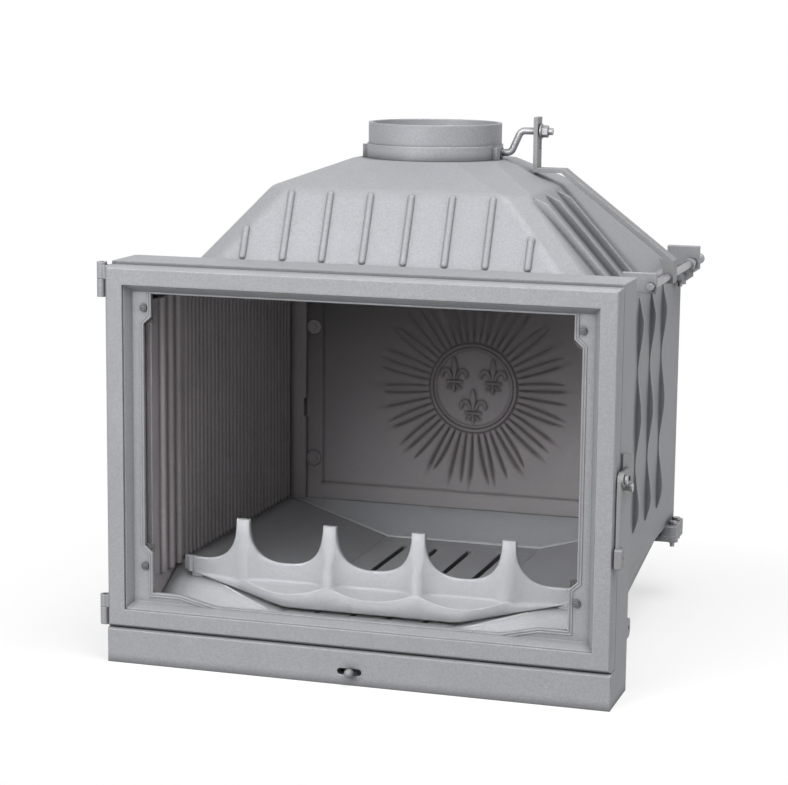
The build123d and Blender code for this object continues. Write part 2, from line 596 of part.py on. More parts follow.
def dome_fin(y):
    """A straight fin down the dome's right flank."""
    x0, x1 = DOME_BASE[0], DOME_SHOULDER[0]
    z0, z1 = DOME_Z0 + DOME_FLANGE, SHOULDER_Z
    length = math.hypot(x1 - x0, z1 - z0)
    along = ((x1 - x0) / length, (z1 - z0) / length)
    out = (along[1], -along[0])
    stations = [(4, -5), (4, 10), (length - 26, 10), (length - 8, 2), (length - 8, -22), (60, -22)]
    outline = [(x0 + along[0] * s + out[0] * h, z0 + along[1] * s + out[1] * h)
               for s, h in stations]
    return prism_y(outline, y - 3, y + 3)


def dome():
    form = dome_solid(0, 0)
    shoulder = form.edges().filter_by(lambda e: abs(e.center().Z - SHOULDER_Z) < 0.1)
    upright = form.edges().filter_by(lambda e: e.length > 90 and 540 < e.center().Z < 625)
    form = fillet([*shoulder, *upright], DOME_SOFT)
    shell = block(-WALL_OUT, WALL_OUT, DOME_BASE[2], BODY_Y1, DOME_Z0, DOME_Z0 + DOME_FLANGE)
    shell += form
    for x in RIB_X:
        rib = dome_rib(x, 636.0)
        shell += rib
        shell += left_of(rib)
    short = dome_rib(200.0, 587.0)
    shell += short
    shell += left_of(short)
    for y in DOME_FIN_Y:
        shell += dome_fin(y)
    lug = block(300, 342, 560, BODY_Y1, DOME_Z0, DOME_Z0 + DOME_FLANGE)
    lug = fillet(lug.edges().filter_by(Axis.Z).sort_by(Axis.X)[-2:], 8)
    lug -= bolt_holes(DOME_Z0)
    shell += lug
    shell += left_of(lug)
    shell -= dome_solid(DOME_T, DOME_T)
    opening = WALL_IN - 14
    shell -= block(-opening, opening, DOME_BASE[2] + 10, BODY_Y1 - 24, DOME_Z0 - 1,
                   DOME_Z0 + DOME_FLANGE + 0.5)
    return shell - rod("z", (0, FLUE_Y, SEAT_Z), FLUE_BORE, 60)


COLLAR_LUGS = (-14.0, 90.0, 194.0)
COLLAR_FOOT = 697.0           # top of the thicker foot that the flue pipe rests on


def flue_collar():
    """Round spigot that carries the damper's shaft, with three bolted lugs at its foot."""
    middle = (0, FLUE_Y, (SEAT_Z + FLUE_TOP) / 2)
    collar = rod("z", middle, FLUE_R, FLUE_TOP - SEAT_Z)
    collar += rod("z", (0, FLUE_Y, (SEAT_Z + COLLAR_FOOT) / 2), FLUE_R + 2, COLLAR_FOOT - SEAT_Z)
    for degrees in COLLAR_LUGS:
        lug = block(FLUE_R - 3, FLUE_R + 8, -5, 5, SEAT_Z, SEAT_Z + 18)
        collar += Pos(0, FLUE_Y, 0) * Rot(0, 0, degrees) * lug
    for side in (-1, 1):
        collar += rod("x", (side * (FLUE_R - 1), FLUE_Y, SHAFT_Z), 9, 10) & block(
            -200, 200, 0, 700, SEAT_Z, 700)
    collar -= rod("z", middle, FLUE_BORE, 80)
    return collar - rod("x", (0, FLUE_Y, SHAFT_Z), SHAFT_R + RUN, 260)


def damper_flap():
    """Round flap with a long hub that the shaft passes through."""
    centre = (0, FLUE_Y, SHAFT_Z)
    flap = rod("z", centre, FLUE_BORE - 2, 5) + rod("x", centre, 9, 150)
    return flap - rod("x", centre, SHAFT_R + 0.02, 200)


def damper_shaft():
    """Shaft through the collar, bent into a crank outside it."""
    crank_z = SHAFT_Z + CRANK_R
    path = FilletPolyline([(-98, FLUE_Y, SHAFT_Z), (112, FLUE_Y, SHAFT_Z),
                           (126, FLUE_Y, crank_z), (172, FLUE_Y, crank_z)], radius=9)
    return sweep(Plane(origin=path @ 0, z_dir=path % 0) * Circle(SHAFT_R), path=path)


def crank_nut():
    """Washer and nut that keep the link's arm on the crank."""
    z = SHAFT_Z + CRANK_R
    nut = rod("x", (155.5, FLUE_Y, z), 11, 2) + hex_head("x", (161, FLUE_Y, z), 15, 9)
    return nut - rod("x", (160, FLUE_Y, z), SHAFT_R + 0.02, 60)


ARM_X0, ARM_X1, BAR_T, BAR_W = 147.0, 153.0, 6.0, 26.0


def link_bar():
    """Upright slotted arm that bends over into a flat bar down the dome's flank."""
    y0, y1 = FLUE_Y - BAR_W / 2, FLUE_Y + BAR_W / 2
    arm_top, knee_z = 738.0, 667.0
    outline = [
        (ARM_X0, arm_top), (ARM_X0, knee_z - BAR_T), (188, knee_z - BAR_T), (335, 548),
        (335, 513), (351, 513), (351, 545), (191, knee_z), (ARM_X1, knee_z), (ARM_X1, arm_top),
    ]
    bar = prism_y(outline, y0, y1)
    top_z, low_z = SHAFT_Z + CRANK_R + SHAFT_R + 1, SHAFT_Z + CRANK_R / 2 + SHAFT_R - 15
    bar -= block(ARM_X0 - 1, ARM_X1 + 1, FLUE_Y - 7.6, FLUE_Y + 7.6, low_z, top_z)
    return bar - rod("y", (ROD_X, FLUE_Y, ROD_Z), ROD_R, 60)


ROD_Y0, ROD_Y1 = 226.0, 608.0
GUIDE_FRONT, GUIDE_REAR = (236.0, 242.0), (556.0, 568.0)


def control_rod():
    """Damper rod with a stop ring and a round end, which slides in two guides."""
    bar = rod("y", (ROD_X, (ROD_Y0 + ROD_Y1) / 2, ROD_Z), ROD_R, ROD_Y1 - ROD_Y0)
    bar += Pos(ROD_X, ROD_Y1, ROD_Z) * Sphere(8)
    return bar + rod("y", (ROD_X, 522, ROD_Z), 8.5, 7)


def rod_guides():
    """Two upright plates on the dome's flange that the control rod slides through."""
    base = DOME_Z0 + DOME_FLANGE
    front = prism_y([(303, base), (312, base), (350, 512), (350, 540), (303, 540)], *GUIDE_FRONT)
    front += block(303, 311, GUIDE_FRONT[1], GUIDE_FRONT[1] + 16, base, base + 6)
    rear = block(304, 351, *GUIDE_REAR, base, 545)
    group = []
    for plate in (front, rear):
        group.append(plate - rod("y", (ROD_X, 400, ROD_Z), ROD_R + RUN, 500))
    return Compound([*group[0].solids(), *group[1].solids()])


# ---------------------------------------------------------------- log retainer
RETAINER_X, RETAINER_BACK = 281.0, 103.5
SCALLOP_POWER, SCALLOP_STEPS = 2.6, 8       # how square the scallops are


def scallop(left, right):
    """The cut between two horns: steep sides and a broad round bottom."""
    middle, half = (left + right) / 2, (right - left) / 2
    depth = HORN_TOP - SCALLOP_Z
    points = []
    for i in range(SCALLOP_STEPS + 1):
        angle = math.pi * i / SCALLOP_STEPS
        c, s = math.cos(angle), math.sin(angle)
        x = middle - half * math.copysign(abs(c) ** (2 / SCALLOP_POWER), c)
        points.append((x, 0, HORN_TOP - depth * abs(s) ** (2 / SCALLOP_POWER)))
    curve = Spline(points, tangents=[(0, 0, -1), (0, 0, 1)])
    lid = Polyline([points[0], (left, 0, HORN_TOP + 20), (right, 0, HORN_TOP + 20), points[-1]])
    return extrude(make_face(curve + lid), amount=160, dir=(0, 1, 0))


def hollow(x, y, z, size):
    """A shallow dish in the retainer's front."""
    return Pos(x, y, z) * scale(Sphere(1), by=size)


def log_retainer():
    """Bar across the hearth's front: four horns, scallops between them, dished in front."""
    reach, back = RETAINER_X, RETAINER_BACK
    section = [(back, 70), (80, 70), (81.5, 95), (85, 118), (89, 145), (94.5, HORN_TOP),
               (back, HORN_TOP)]
    bar = prism_x(section, -reach, reach)
    wing = prism_x([(90, 70), (118, 70), (118, 130), (90, 130)], 130, reach)
    bar += wing + left_of(wing)
    plan = [(130, 80), (reach, 111), (reach, 118), (216, back)]
    bar &= prism_z(mirrored(plan), 0, 400)
    edge = 2 * (RETAINER_X - HORN_X[-1]) - HORN_HALF + HORN_X[-1]
    ends = [-edge, *HORN_X, edge]
    for x0, x1 in zip(ends, ends[1:]):
        bar -= scallop(x0 + HORN_HALF, x1 - HORN_HALF)
    for x in (-126.0, 0.0, 126.0):
        bar -= hollow(x, 82, 134, (58, 14, 40))
    for side in (-1, 1):
        bar -= hollow(side * 232, 90, 136, (38, 11, 32))
    bar -= hearth_form(4)
    for x, y in ((148.0, 94.0), (262.0, 108.5)):
        foot = block(x - 8, x + 8, y - 4, y + 4, 70, 112) - hearth_form()
        foot -= block(x - 9, x + 9, y - 5, y + 5, bevel_line(y) + 6, 130)
        bar += foot
        bar += left_of(foot)
    return bar


# ---------------------------------------------------------------- output
PIECES = {
    "front_frame": front_frame,
    "plinth_panel": plinth_panel,
    "air_slide": air_slide,
    "slide_rails": slide_rails,
    "base_casting": base_casting,
    "hearth_right": hearth_side,
    "hearth_left": lambda: left_of(hearth_side()),
    "hearth_rear": hearth_rear,
    "hearth_bridges": hearth_bridges,
    "grate_bearers": grate_bearers,
    "grate": grate,
    "ash_pan": ash_pan,
    "side_casting_right": side_casting,
    "side_casting_left": lambda: left_of(side_casting()),
    "side_liner_right": side_liner,
    "side_liner_left": lambda: left_of(side_liner()),
    "back_casting": back_casting,
    "fireback": fireback,
    "fireback_clips": fireback_clips,
    "corner_strip_right": corner_strip,
    "corner_strip_left": lambda: left_of(corner_strip()),
    "baffle_plate": baffle_plate,
    "dome": dome,
    "flue_collar": flue_collar,
    "damper_flap": damper_flap,
    "damper_shaft": damper_shaft,
    "crank_nut": crank_nut,
    "link_bar": link_bar,
    "control_rod": control_rod,
    "rod_guides": rod_guides,
    "tie_bolts": tie_bolts,
    "hinge_pins": hinge_pins,
    "door_frame": door_frame,
    "door_glass": door_glass,
    "glass_gasket": glass_gasket,
    "glass_clips": glass_clips,
    "glass_bolts": glass_bolts,
    "door_rope": door_rope,
    "latch_lever": latch_lever,
    "latch_pivot": latch_pivot,
    "keeper_plate": keeper_plate,
    "keeper_bolt": keeper_bolt,
    "log_retainer": log_retainer,
}

os.makedirs("parts", exist_ok=True)
for name, make in PIECES.items():
    piece = Pos(0, -Y_CENTRE, 0) * make()
    export_step(piece, f"parts/{name}.step")
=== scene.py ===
"""Fireplace insert in silver-grey cast iron: finishes, finer castings and the studio stage.

The plain castings come in as a fixed frame. This file gives them their finishes and makes the
pieces with finer relief: the fireback and its sun, the log bar, the lips on the hearth, the
clip plates and the bead round the window. Lengths are metres.
"""
import math

import bmesh
import bpy
from mathutils import Matrix, Vector


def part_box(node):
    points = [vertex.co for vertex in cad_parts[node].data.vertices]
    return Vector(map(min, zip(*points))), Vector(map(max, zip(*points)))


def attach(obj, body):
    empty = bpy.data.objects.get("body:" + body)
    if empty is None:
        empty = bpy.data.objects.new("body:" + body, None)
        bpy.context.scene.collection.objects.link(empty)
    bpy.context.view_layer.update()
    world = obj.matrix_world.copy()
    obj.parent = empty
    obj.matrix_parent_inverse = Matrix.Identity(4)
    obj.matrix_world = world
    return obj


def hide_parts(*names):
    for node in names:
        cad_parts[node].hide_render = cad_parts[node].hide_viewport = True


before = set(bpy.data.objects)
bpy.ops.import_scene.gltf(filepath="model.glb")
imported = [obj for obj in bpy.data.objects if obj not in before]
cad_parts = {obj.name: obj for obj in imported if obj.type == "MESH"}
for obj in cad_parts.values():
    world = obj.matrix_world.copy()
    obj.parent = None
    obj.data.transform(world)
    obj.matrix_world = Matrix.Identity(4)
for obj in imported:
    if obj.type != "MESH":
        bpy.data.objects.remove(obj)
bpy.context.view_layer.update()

bl_info = {
    "name": "Cast Iron Fireplace Insert",
    "version": (1, 0, 0),
    "blender": (4, 5, 0),
    "location": "3D View > Sidebar > Fireplace",
    "description": "Dresses the castings of a glazed fireplace insert and sets its studio stage",
    "category": "Object",
}


# ------------------------------------------------------------------ which casting wears what
SHELL = ("front_frame", "plinth_panel", "base_casting", "side_casting_left",
         "side_casting_right", "back_casting", "dome", "flue_collar", "rod_guides", "door_frame")
HEARTH = ("hearth_left", "hearth_right", "hearth_bridges", "grate")
LINERS = ("side_liner_left", "side_liner_right")
CHAMBER = ("corner_strip_left", "corner_strip_right", "fireback_clips", "baffle_plate",
           "ash_pan", "grate_bearers")
FITTINGS = ("latch_lever", "keeper_plate", "link_bar", "air_slide", "slide_rails",
            "damper_flap")
BARE_STEEL = ("damper_shaft", "control_rod", "hinge_pins", "latch_pivot", "keeper_bolt",
              "crank_nut", "tie_bolts")


# ------------------------------------------------------------------ sizes and places
# Heights (z) are counted from the floor, and depths (y) from the face of the door.
FACE_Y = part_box("door_frame")[0].y

# fireback: the rise of its relief is counted from the sunken field
FIELD = 0.004                 # depth of the field behind the border's face
BORDER_SECTION = ((0.0, 0.0012), (0.0012, 0.0), (0.0225, 0.0), (0.025, 0.0012),
                  (0.027, FIELD))         # (distance inward, depth behind its face)
LET_IN = -0.0004              # rise of an edge that is let into the field
SUN_Z = 0.307
RAYS = 48
RAY_SIDES, RAY_ROWS, RING_SIDES = 12, 26, 96  # faces across a ray, along it, round the ring
RAY_SWELL = ((0.0695, LET_IN), (0.0715, 0.0018), (0.076, 0.003), (0.09, 0.0036),
             (0.125, 0.0034), (0.147, 0.0025), (0.164, 0.0009), (0.175, LET_IN))
GROOVE_START = 0.0712
GROOVE_ENDS = (0.167, 0.152, 0.162, 0.146, 0.169, 0.15, 0.159, 0.155)
GROOVE_WIDTH, GROOVE_DEPTH = 0.36, 0.93       # as shares of a ray's pitch and rise
GROOVE_BEND = 0.05            # how far a groove's end turns aside, in radians
RING = ((0.0592, LET_IN), (0.0602, 0.0016), (0.0615, 0.0021), (0.0628, 0.0016),
        (0.0636, 0.0003), (0.0644, 0.0003), (0.0652, 0.0024), (0.067, 0.0036),
        (0.0688, 0.0024), (0.0698, LET_IN))
GROOVE_SHADE = (0.0027, 0.0003)                # rises where the painted shade in the grooves starts and is full
SHADE_INNER, SHADE_OUTER = (0.0715, 0.076), (0.16, 0.138)       # radii where it does so
UPPER_DARK_LEAN, UPPER_DARK_HEIGHTS, UPPER_DARK_AMOUNTS = 0.25, (0.19, 0.5), (0.1, 0.9)     # darker towards the top and the left
LILIES = ((-0.031, 0.019), (0.031, 0.019), (0.0, -0.029))     # from the sun's middle
LILY_UNIT = 0.00108
LEAF_SECTION = ((-1.0, 0.0), (-0.6, 0.72), (0.0, 1.0), (0.6, 0.72), (1.0, 0.0))   # shares

# hearth: a flat, sloping sides up to the liners, and bevelled front corners
FLAT_X, FLAT_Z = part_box("hearth_bridges")[1].x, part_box("hearth_bridges")[1].z
FLAT_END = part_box("hearth_bridges")[1].y - FACE_Y
SIDE_SLOPE = ((FLAT_X, FLAT_Z), (0.298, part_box("hearth_left")[1].z))      # (x, height)
BEVEL_Z, BEVEL_RISE = 0.04475, 0.52           # height at the door's face, rise over depth
CREASE_TIP = (0.294, 0.5935, 0.1125)          # where the rear crease's lip ends
RIDGE_X = (0.14, 0.178, 0.216)                # places along a front corner's ridge
CREASE_LIP, RIDGE_LIP = (0.0034, 0.0028), (0.0016, 0.0008)    # half width and rise

# log bar
BAR_END, HORN_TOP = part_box("log_retainer")[1].x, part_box("log_retainer")[1].z
HORN_PITCH, HORN_HALF = 0.126, 0.0095
HORNS = tuple(HORN_PITCH * k for k in (-1.5, -0.5, 0.5, 1.5))
SCALLOP_Z = 0.133
CUT_POWER = 0.77              # below 1, a scallop's sides are steeper than an ellipse's
CUT_STEPS = 14                # faces in a quarter of a scallop
END_CUT_X, END_STEP_X, END_Z = 0.256, 0.268, 0.13     # the low ends beside the outer horns
FRONT_Y = 0.08
FRONT_PLAN = ((0.13, FRONT_Y), (BAR_END, 0.111))              # (x, depth)
FRONT_LEAN = ((0.07, FRONT_Y), (0.095, 0.0815), (0.118, 0.085), (0.145, 0.089),
              (0.191, 0.0945))                                # (height, depth)
BACK_PLAN = ((0.216, 0.1035), (BAR_END, 0.118))               # (x, depth)
FOOT_LINE = ((FLAT_X, FLAT_Z + 0.004), (BAR_END, FLAT_Z + 0.038))         # (x, height)
BAY_HALF, BAY_WALL = 0.058, 0.0985            # half width, and depth of the bays' wall
LEDGE_Z, LEDGE_DIP = 0.107, 0.0125            # and how much lower it is in mid-bay
LEAST_CLIMB = 0.0005          # least height over which the front turns into a bay
END_BAY_DEPTH, END_BAY_DIP = 0.0042, 0.45     # the half bays beside the outer horns
BAR_SOFT = 0.0012             # size of the bar's chamfers
LEAST_STEP = 0.00002          # smallest distance between two rows of points
LEGS = ((0.148, 0.094), (0.262, 0.1105))      # (x, depth) of the right-hand pair
LEG_HALF_X, LEG_HALF_Y = 0.008, 0.002
LEG_GAP, LEG_ENTRY = 0.0001, 0.004            # over the hearth, and up into the bar
PEG_X, PEG_Y, PEG_TOP = 0.271, 0.1078, 0.131
PEG_RADII = (0.004, 0.0036)                   # at its foot and its top

# door: the window's right half from the bottom up, its bead, and room for the clip plates
BOSS_X, WINDOW_X = 0.289, 0.3
WINDOW_HALF = ((0.2, 0.086), (0.25, 0.098), (BOSS_X, 0.098), (BOSS_X, 0.153),
               (WINDOW_X, 0.163), (WINDOW_X, 0.467), (BOSS_X, 0.477), (BOSS_X, 0.508))
WINDOW = WINDOW_HALF + tuple((-x, z) for x, z in reversed(WINDOW_HALF))
FLANGE_Y = 0.015
BEAD = ((0.0002, -0.002), (0.0002, 0.0005), (0.0008, 0.0011), (0.0022, 0.0011),
        (0.0028, 0.0003), (0.0036, 0.0003), (0.0042, 0.001), (0.0058, 0.001),
        (0.0066, -0.0004))    # (distance outward, rise)
PLATE_X = 0.2905              # the plates stay outside this, from the middle
PLATE_GAP = (0.158, 0.472)    # and out of these heights

# stage: places are in the scene's own axes
FLOOR_RADIUS = 14.0
FOOTPRINT = (0.33, 0.3, 0.0)  # half sizes of the ground where the shadow is strongest
SHADOW_FADE = (0.02, 0.4)     # from there, where the shadow starts to fade and where it ends
SHADOW_CUT = 0.5              # share of the shadow that is taken away
KEY_PLACE, KEY_WIDTH = (-1.6, -3.6, 2.3), 2.2
FILL_PLACE, FILL_WIDTH = (-0.9, -3.8, 1.3), 1.8
TOP_PLACE, TOP_WIDTH = (1.1, -0.8, 3.2), 2.0
LAMP_AIM = (0.0, 0.0, 0.35)
SENSOR_WIDTH = 36.0           # in millimetres, as the lens is

# textures: noise of a scale, detail and roughness, and the limits that are spread over 0 to 1
CLOUDS = (7.0, 4.0, 0.6), (0.32, 0.7)
PATCHES = (38.0, 3.0, 0.55), (0.35, 0.68)
SPECKS = (420.0, 3.0, 0.7), (0.36, 0.66)
STREAKS = (900.0, 3.0, 0.7), (0.35, 0.65)
FILM = (60.0, 3.0, 0.6), (0.4, 0.7)
HAZE = (9.0, 4.0, 0.6), (0.4, 0.75)
EDGE_TURN = (0.995, 0.86)     # cosines of the turn at an edge, where it starts and is full
OPEN_SKY = 0.95               # a corner that is more open than this isn't darkened

# colours and shader values that the user has no need to change
# dark colour of the painted shade, also used for the darkening towards the fireback's upper left
SHADE_DARK = (0.026, 0.021, 0.021)
# steel's edge colour is partly wear and partly painted highlight; its corner colour is painted
# shade
STEEL_WEAR_AND_HIGHLIGHT, STEEL_CORNER_SHADE = (0.72, 0.73, 0.75), (0.03, 0.028, 0.028)
PANE_TINTS = (0.965, 0.97, 0.968), (0.99, 0.99, 0.985)
PANE_IOR = 1.12               # lower than real glass, so that no haze lies over the chamber
GASKET_GREY, ROPE_GREY = (0.2, 0.19, 0.185), (0.16, 0.155, 0.15)
WHITE = (1, 1, 1, 1)
FLOOR_SEEN, FLOOR_BOUNCE, FLOOR_LIFT = 0.9, 0.22, 0.3


# ------------------------------------------------------------------ node helpers
class Tree:
    """A node tree with short calls for adding and joining nodes."""

    def __init__(self, owner, output="ShaderNodeOutputMaterial"):
        owner.use_nodes = True
        self.owner = owner
        self.nodes = owner.node_tree.nodes
        self.links = owner.node_tree.links
        self.nodes.clear()
        self.output = self.nodes.new(output)

    def feed(self, socket, value):
        """Joins a socket to another node's socket, or sets its value."""
        if isinstance(value, bpy.types.NodeSocket):
            self.links.new(value, socket)
        else:
            socket.default_value = value

    def add(self, kind, inputs=None, **settings):
        """A new node with its settings and what goes into its sockets."""
        node = self.nodes.new(kind)
        for key, value in settings.items():
            setattr(node, key, value)
        for socket, value in (inputs or {}).items():
            self.feed(node.inputs[socket], value)
        return node

    def place(self):
        """The point on the casting, in metres."""
        return self.add("ShaderNodeTexCoord").outputs["Object"]

    def math(self, operation, *values, clamp=False):
        node = self.add("ShaderNodeMath", dict(enumerate(values)), operation=operation)
        node.use_clamp = clamp
        return node.outputs[0]

    def vector(self, operation, *values, output="Vector"):
        node = self.add("ShaderNodeVectorMath", dict(enumerate(values)), operation=operation)
        return node.outputs[output]

    def blend(self, factor, low, high):
        """From one colour to another; a mix has its two colours in sockets 6 and 7."""
        node = self.add("ShaderNodeMix", {"Factor": factor}, data_type="RGBA")
        for index, value in ((6, low), (7, high)):
            if not isinstance(value, bpy.types.NodeSocket):
                value = (*value[:3], 1)
            self.feed(node.inputs[index], value)
        return node.outputs[2]

    def coat(self, colour, mask, amount, over):
        """Lays a second colour over the first where the mask is high, up to an amount."""
        return self.blend(self.math("MULTIPLY", mask, amount), colour, over)

    def band(self, value, low, high, start=0.0, end=1.0):
        """Turns low..high into start..end and holds it there outside."""
        node = self.add("ShaderNodeMapRange", {"Value": value, "From Min": low, "From Max": high,
                                               "To Min": start, "To Max": end})
        node.clamp = True
        return node.outputs["Result"]

    def noise(self, place, scale, detail=2.0, roughness=0.5):
        node = self.add("ShaderNodeTexNoise", {"Vector": place, "Scale": scale, "Detail": detail,
                                               "Roughness": roughness})
        return node.outputs["Fac"]

    def mottle(self, place, texture, start=0.0, end=1.0):
        """Noise of one of the textures, from start to end."""
        grain, limits = texture
        return self.band(self.noise(place, *grain), *limits, start, end)

    def bump(self, height, strength, distance, **more):
        node = self.add("ShaderNodeBump", {"Height": height, "Strength": strength,
                                           "Distance": distance, **more})
        return node.outputs[0]

    def surface(self, shader):
        """Ends the tree and returns the material or world that it belongs to."""
        self.links.new(shader, self.output.inputs["Surface"])
        return self.owner

    def principled(self, inputs):
        """Ends the tree in a Principled shader."""
        return self.surface(self.add("ShaderNodeBsdfPrincipled", inputs).outputs[0])


def material_tree(name):
    return Tree(bpy.data.materials.new(name))


def toned(colour, factor):
    """A colour made darker or lighter, at most to white."""
    return [min(1.0, channel * factor) for channel in colour]


def edge_and_crevice(tree, radius, reach, shut=0.35):
    """Rounded normals, with a mask for exposed edges and one for deep corners, where shade is
    painted.
    """
    rounded = tree.add("ShaderNodeBevel", {"Radius": radius}, samples=6).outputs[0]
    flat = tree.add("ShaderNodeNewGeometry").outputs["Normal"]
    facing = tree.vector("DOT_PRODUCT", rounded, flat, output="Value")
    edge = tree.band(facing, *EDGE_TURN)
    # the occlusion mask marks deep corners, where shade is painted
    cavity = tree.add("ShaderNodeAmbientOcclusion", {"Distance": reach}, samples=6)
    deep = tree.band(cavity.outputs["AO"], OPEN_SKY, shut)
    return rounded, edge, deep


def cast_iron(name, tone, wear_and_highlight, stain, grain, roughness, edge_radius=0.0022, corner_shade_amount=0.55,
              reach=0.03, shut=0.35, depth_shade=None, shade=None):
    """Sand-cast iron: mottled tone, fine grain, edges lightened partly as wear and partly as
    painted highlight, and painted shade in corners.

    reach is how far a corner's painted shade spreads, and shut how closed a corner is when it is
    darkest. depth_shade is (depth where it starts, depth where it is full, amount), counted
    along the scene's Y: painted shade that darkens the iron towards the back. shade makes one
    more mask of painted darkening from the tree and the place.
    """
    tree = material_tree(name)
    place = tree.place()
    normal, edge, deep = edge_and_crevice(tree, edge_radius, reach, shut)
    clouds, specks, patches = (tree.mottle(place, t) for t in (CLOUDS, SPECKS, PATCHES))
    colour = tree.blend(specks, toned(tone, 1.0 - grain), toned(tone, 1.0 + grain * 0.6))
    colour = tree.coat(colour, clouds, 0.35, stain)
    colour = tree.coat(colour, patches, 0.16, stain)
    # edges lightened, partly as wear and partly as painted highlight
    colour = tree.coat(colour, edge, tree.band(patches, 0.0, 1.0, 0.75, 0.25), wear_and_highlight)
    # painted shade: deep corners and creases are darkened
    colour = tree.coat(colour, deep, corner_shade_amount, toned(stain, 0.32))
    # painted shade: darker towards the back of the chamber, broken up by the clouds
    if depth_shade:
        start, full, amount = depth_shade
        depth = tree.add("ShaderNodeSeparateXYZ", {0: place}).outputs["Y"]
        cloudy = tree.math("ADD", depth, tree.math("MULTIPLY", clouds, 0.03))
        colour = tree.blend(tree.band(cloudy, start, full, 0.0, amount), colour, SHADE_DARK)
    if shade:
        colour = tree.blend(shade(tree, place), colour, SHADE_DARK)
    rough = tree.band(specks, 0.0, 1.0, roughness + 0.08, roughness - 0.05)
    rough = tree.math("SUBTRACT", rough, tree.math("MULTIPLY", edge, 0.14), clamp=True)
    skin = tree.math("ADD", tree.math("MULTIPLY", tree.noise(place, 620.0, 2.0), 0.55),
                     tree.math("MULTIPLY", tree.noise(place, 130.0, 3.0), 0.9))
    return tree.principled({
        "Base Color": colour, "Roughness": rough, "Metallic": 0.22, "Specular IOR Level": 0.42,
        "Normal": tree.bump(skin, 0.35, 0.0007, Normal=normal)})


def bare_steel(name, tone, roughness):
    """Turned or rolled steel with fine streaks, edges lightened partly as wear and partly as
    painted highlight, and painted shade in its corners.
    """
    tree = material_tree(name)
    place = tree.place()
    normal, edge, deep = edge_and_crevice(tree, 0.0009, 0.012)
    streaks = tree.mottle(place, STREAKS)
    colour = tree.blend(streaks, toned(tone, 0.82), tone)
    colour = tree.coat(colour, tree.mottle(place, FILM), 0.4, toned(tone, 0.62))
    # lighter edges, partly wear and partly painted highlight, and painted shade in the corners
    colour = tree.coat(colour, edge, 0.6, STEEL_WEAR_AND_HIGHLIGHT)
    colour = tree.coat(colour, deep, 0.6, STEEL_CORNER_SHADE)
    rough = tree.band(streaks, 0.0, 1.0, roughness + 0.1, roughness)
    return tree.principled({
        "Base Color": colour, "Roughness": rough, "Metallic": 0.75,
        "Normal": tree.bump(streaks, 0.2, 0.0003, Normal=normal)})


def ceramic_glass(name):
    """Clear pane with a faint haze that leaves its reflections uneven."""
    tree = material_tree(name)
    place = tree.place()
    tint = tree.blend(tree.noise(place, 4.0), *PANE_TINTS)
    return tree.principled({
        "Base Color": tint, "Roughness": tree.mottle(place, HAZE, 0.0, 0.02),
        "IOR": PANE_IOR, "Specular IOR Level": 0.1, "Transmission Weight": 1.0})


def rope_seal(name, tone):
    """Braided glass-fibre rope."""
    tree = material_tree(name)
    place = tree.place()
    strands = tree.add("ShaderNodeTexWave", {"Vector": place, "Scale": 110.0, "Distortion": 3.0,
                                             "Detail": 2.0}, wave_type="BANDS",
                       bands_direction="DIAGONAL").outputs["Fac"]
    fuzz = tree.noise(place, 500.0, 4.0, 0.7)
    colour = tree.blend(strands, toned(tone, 0.45), tone)
    colour = tree.coat(colour, fuzz, 0.4, toned(tone, 0.6))
    return tree.principled({
        "Base Color": colour, "Roughness": tree.band(fuzz, 0.0, 1.0, 0.8, 0.98),
        "Normal": tree.bump(strands, 0.8, 0.0008)})


# ------------------------------------------------------------------ mesh and object helpers
def dress(material, *nodes):
    """Gives carried-over castings their finish."""
    for node in nodes:
        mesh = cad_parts[node].data
        mesh.materials.clear()
        mesh.materials.append(material)


def new_piece(name, mesh, material, body):
    """A piece of the scene's own, which rides on a body."""
    piece = bpy.data.objects.new(name, mesh)
    bpy.context.scene.collection.objects.link(piece)
    mesh.materials.append(material)
    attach(piece, body)
    return piece


def mesh_of(shape, name):
    """The finished mesh of a shape, which is then freed."""
    mesh = bpy.data.meshes.new(name)
    shape.to_mesh(mesh)
    shape.free()
    return mesh


def walls(shape, loops, closed=True, smooth=False):
    """Faces between neighbouring rows of points, all round where the rows are closed."""
    skins = []
    for near, far in zip(loops, loops[1:]):
        for i in range(len(near) if closed else len(near) - 1):
            j = (i + 1) % len(near)
            skin = shape.faces.new((near[i], near[j], far[j], far[i]))
            skin.smooth = smooth
            skins.append(skin)
    return skins


def capped_walls(shape, loops, smooth=False):
    """A closed body from its loops of points."""
    walls(shape, loops, smooth=smooth)
    shape.faces.new(loops[0])
    shape.faces.new(list(reversed(loops[-1])))


def turn_to_front(skins):
    """Turns faces of open relief to the door's side."""
    for skin in skins:
        skin.normal_update()
        if skin.normal.y > 0:
            skin.normal_flip()


def face_outward(shape):
    bmesh.ops.recalc_face_normals(shape, faces=shape.faces[:])


def heading(path, i):
    """Direction of a path at one of its points, from their first two coordinates."""
    before, after = path[max(i - 1, 0)], path[min(i + 1, len(path) - 1)]
    return Vector((after[0] - before[0], after[1] - before[1])).normalized()


def along(points, value):
    """The result at a value, on straight lines through (value, result) points."""
    for (v0, r0), (v1, r1) in zip(points, points[1:]):
        if value <= v1:
            return r0 + (r1 - r0) * max(0.0, value - v0) / (v1 - v0)
    return points[-1][1]


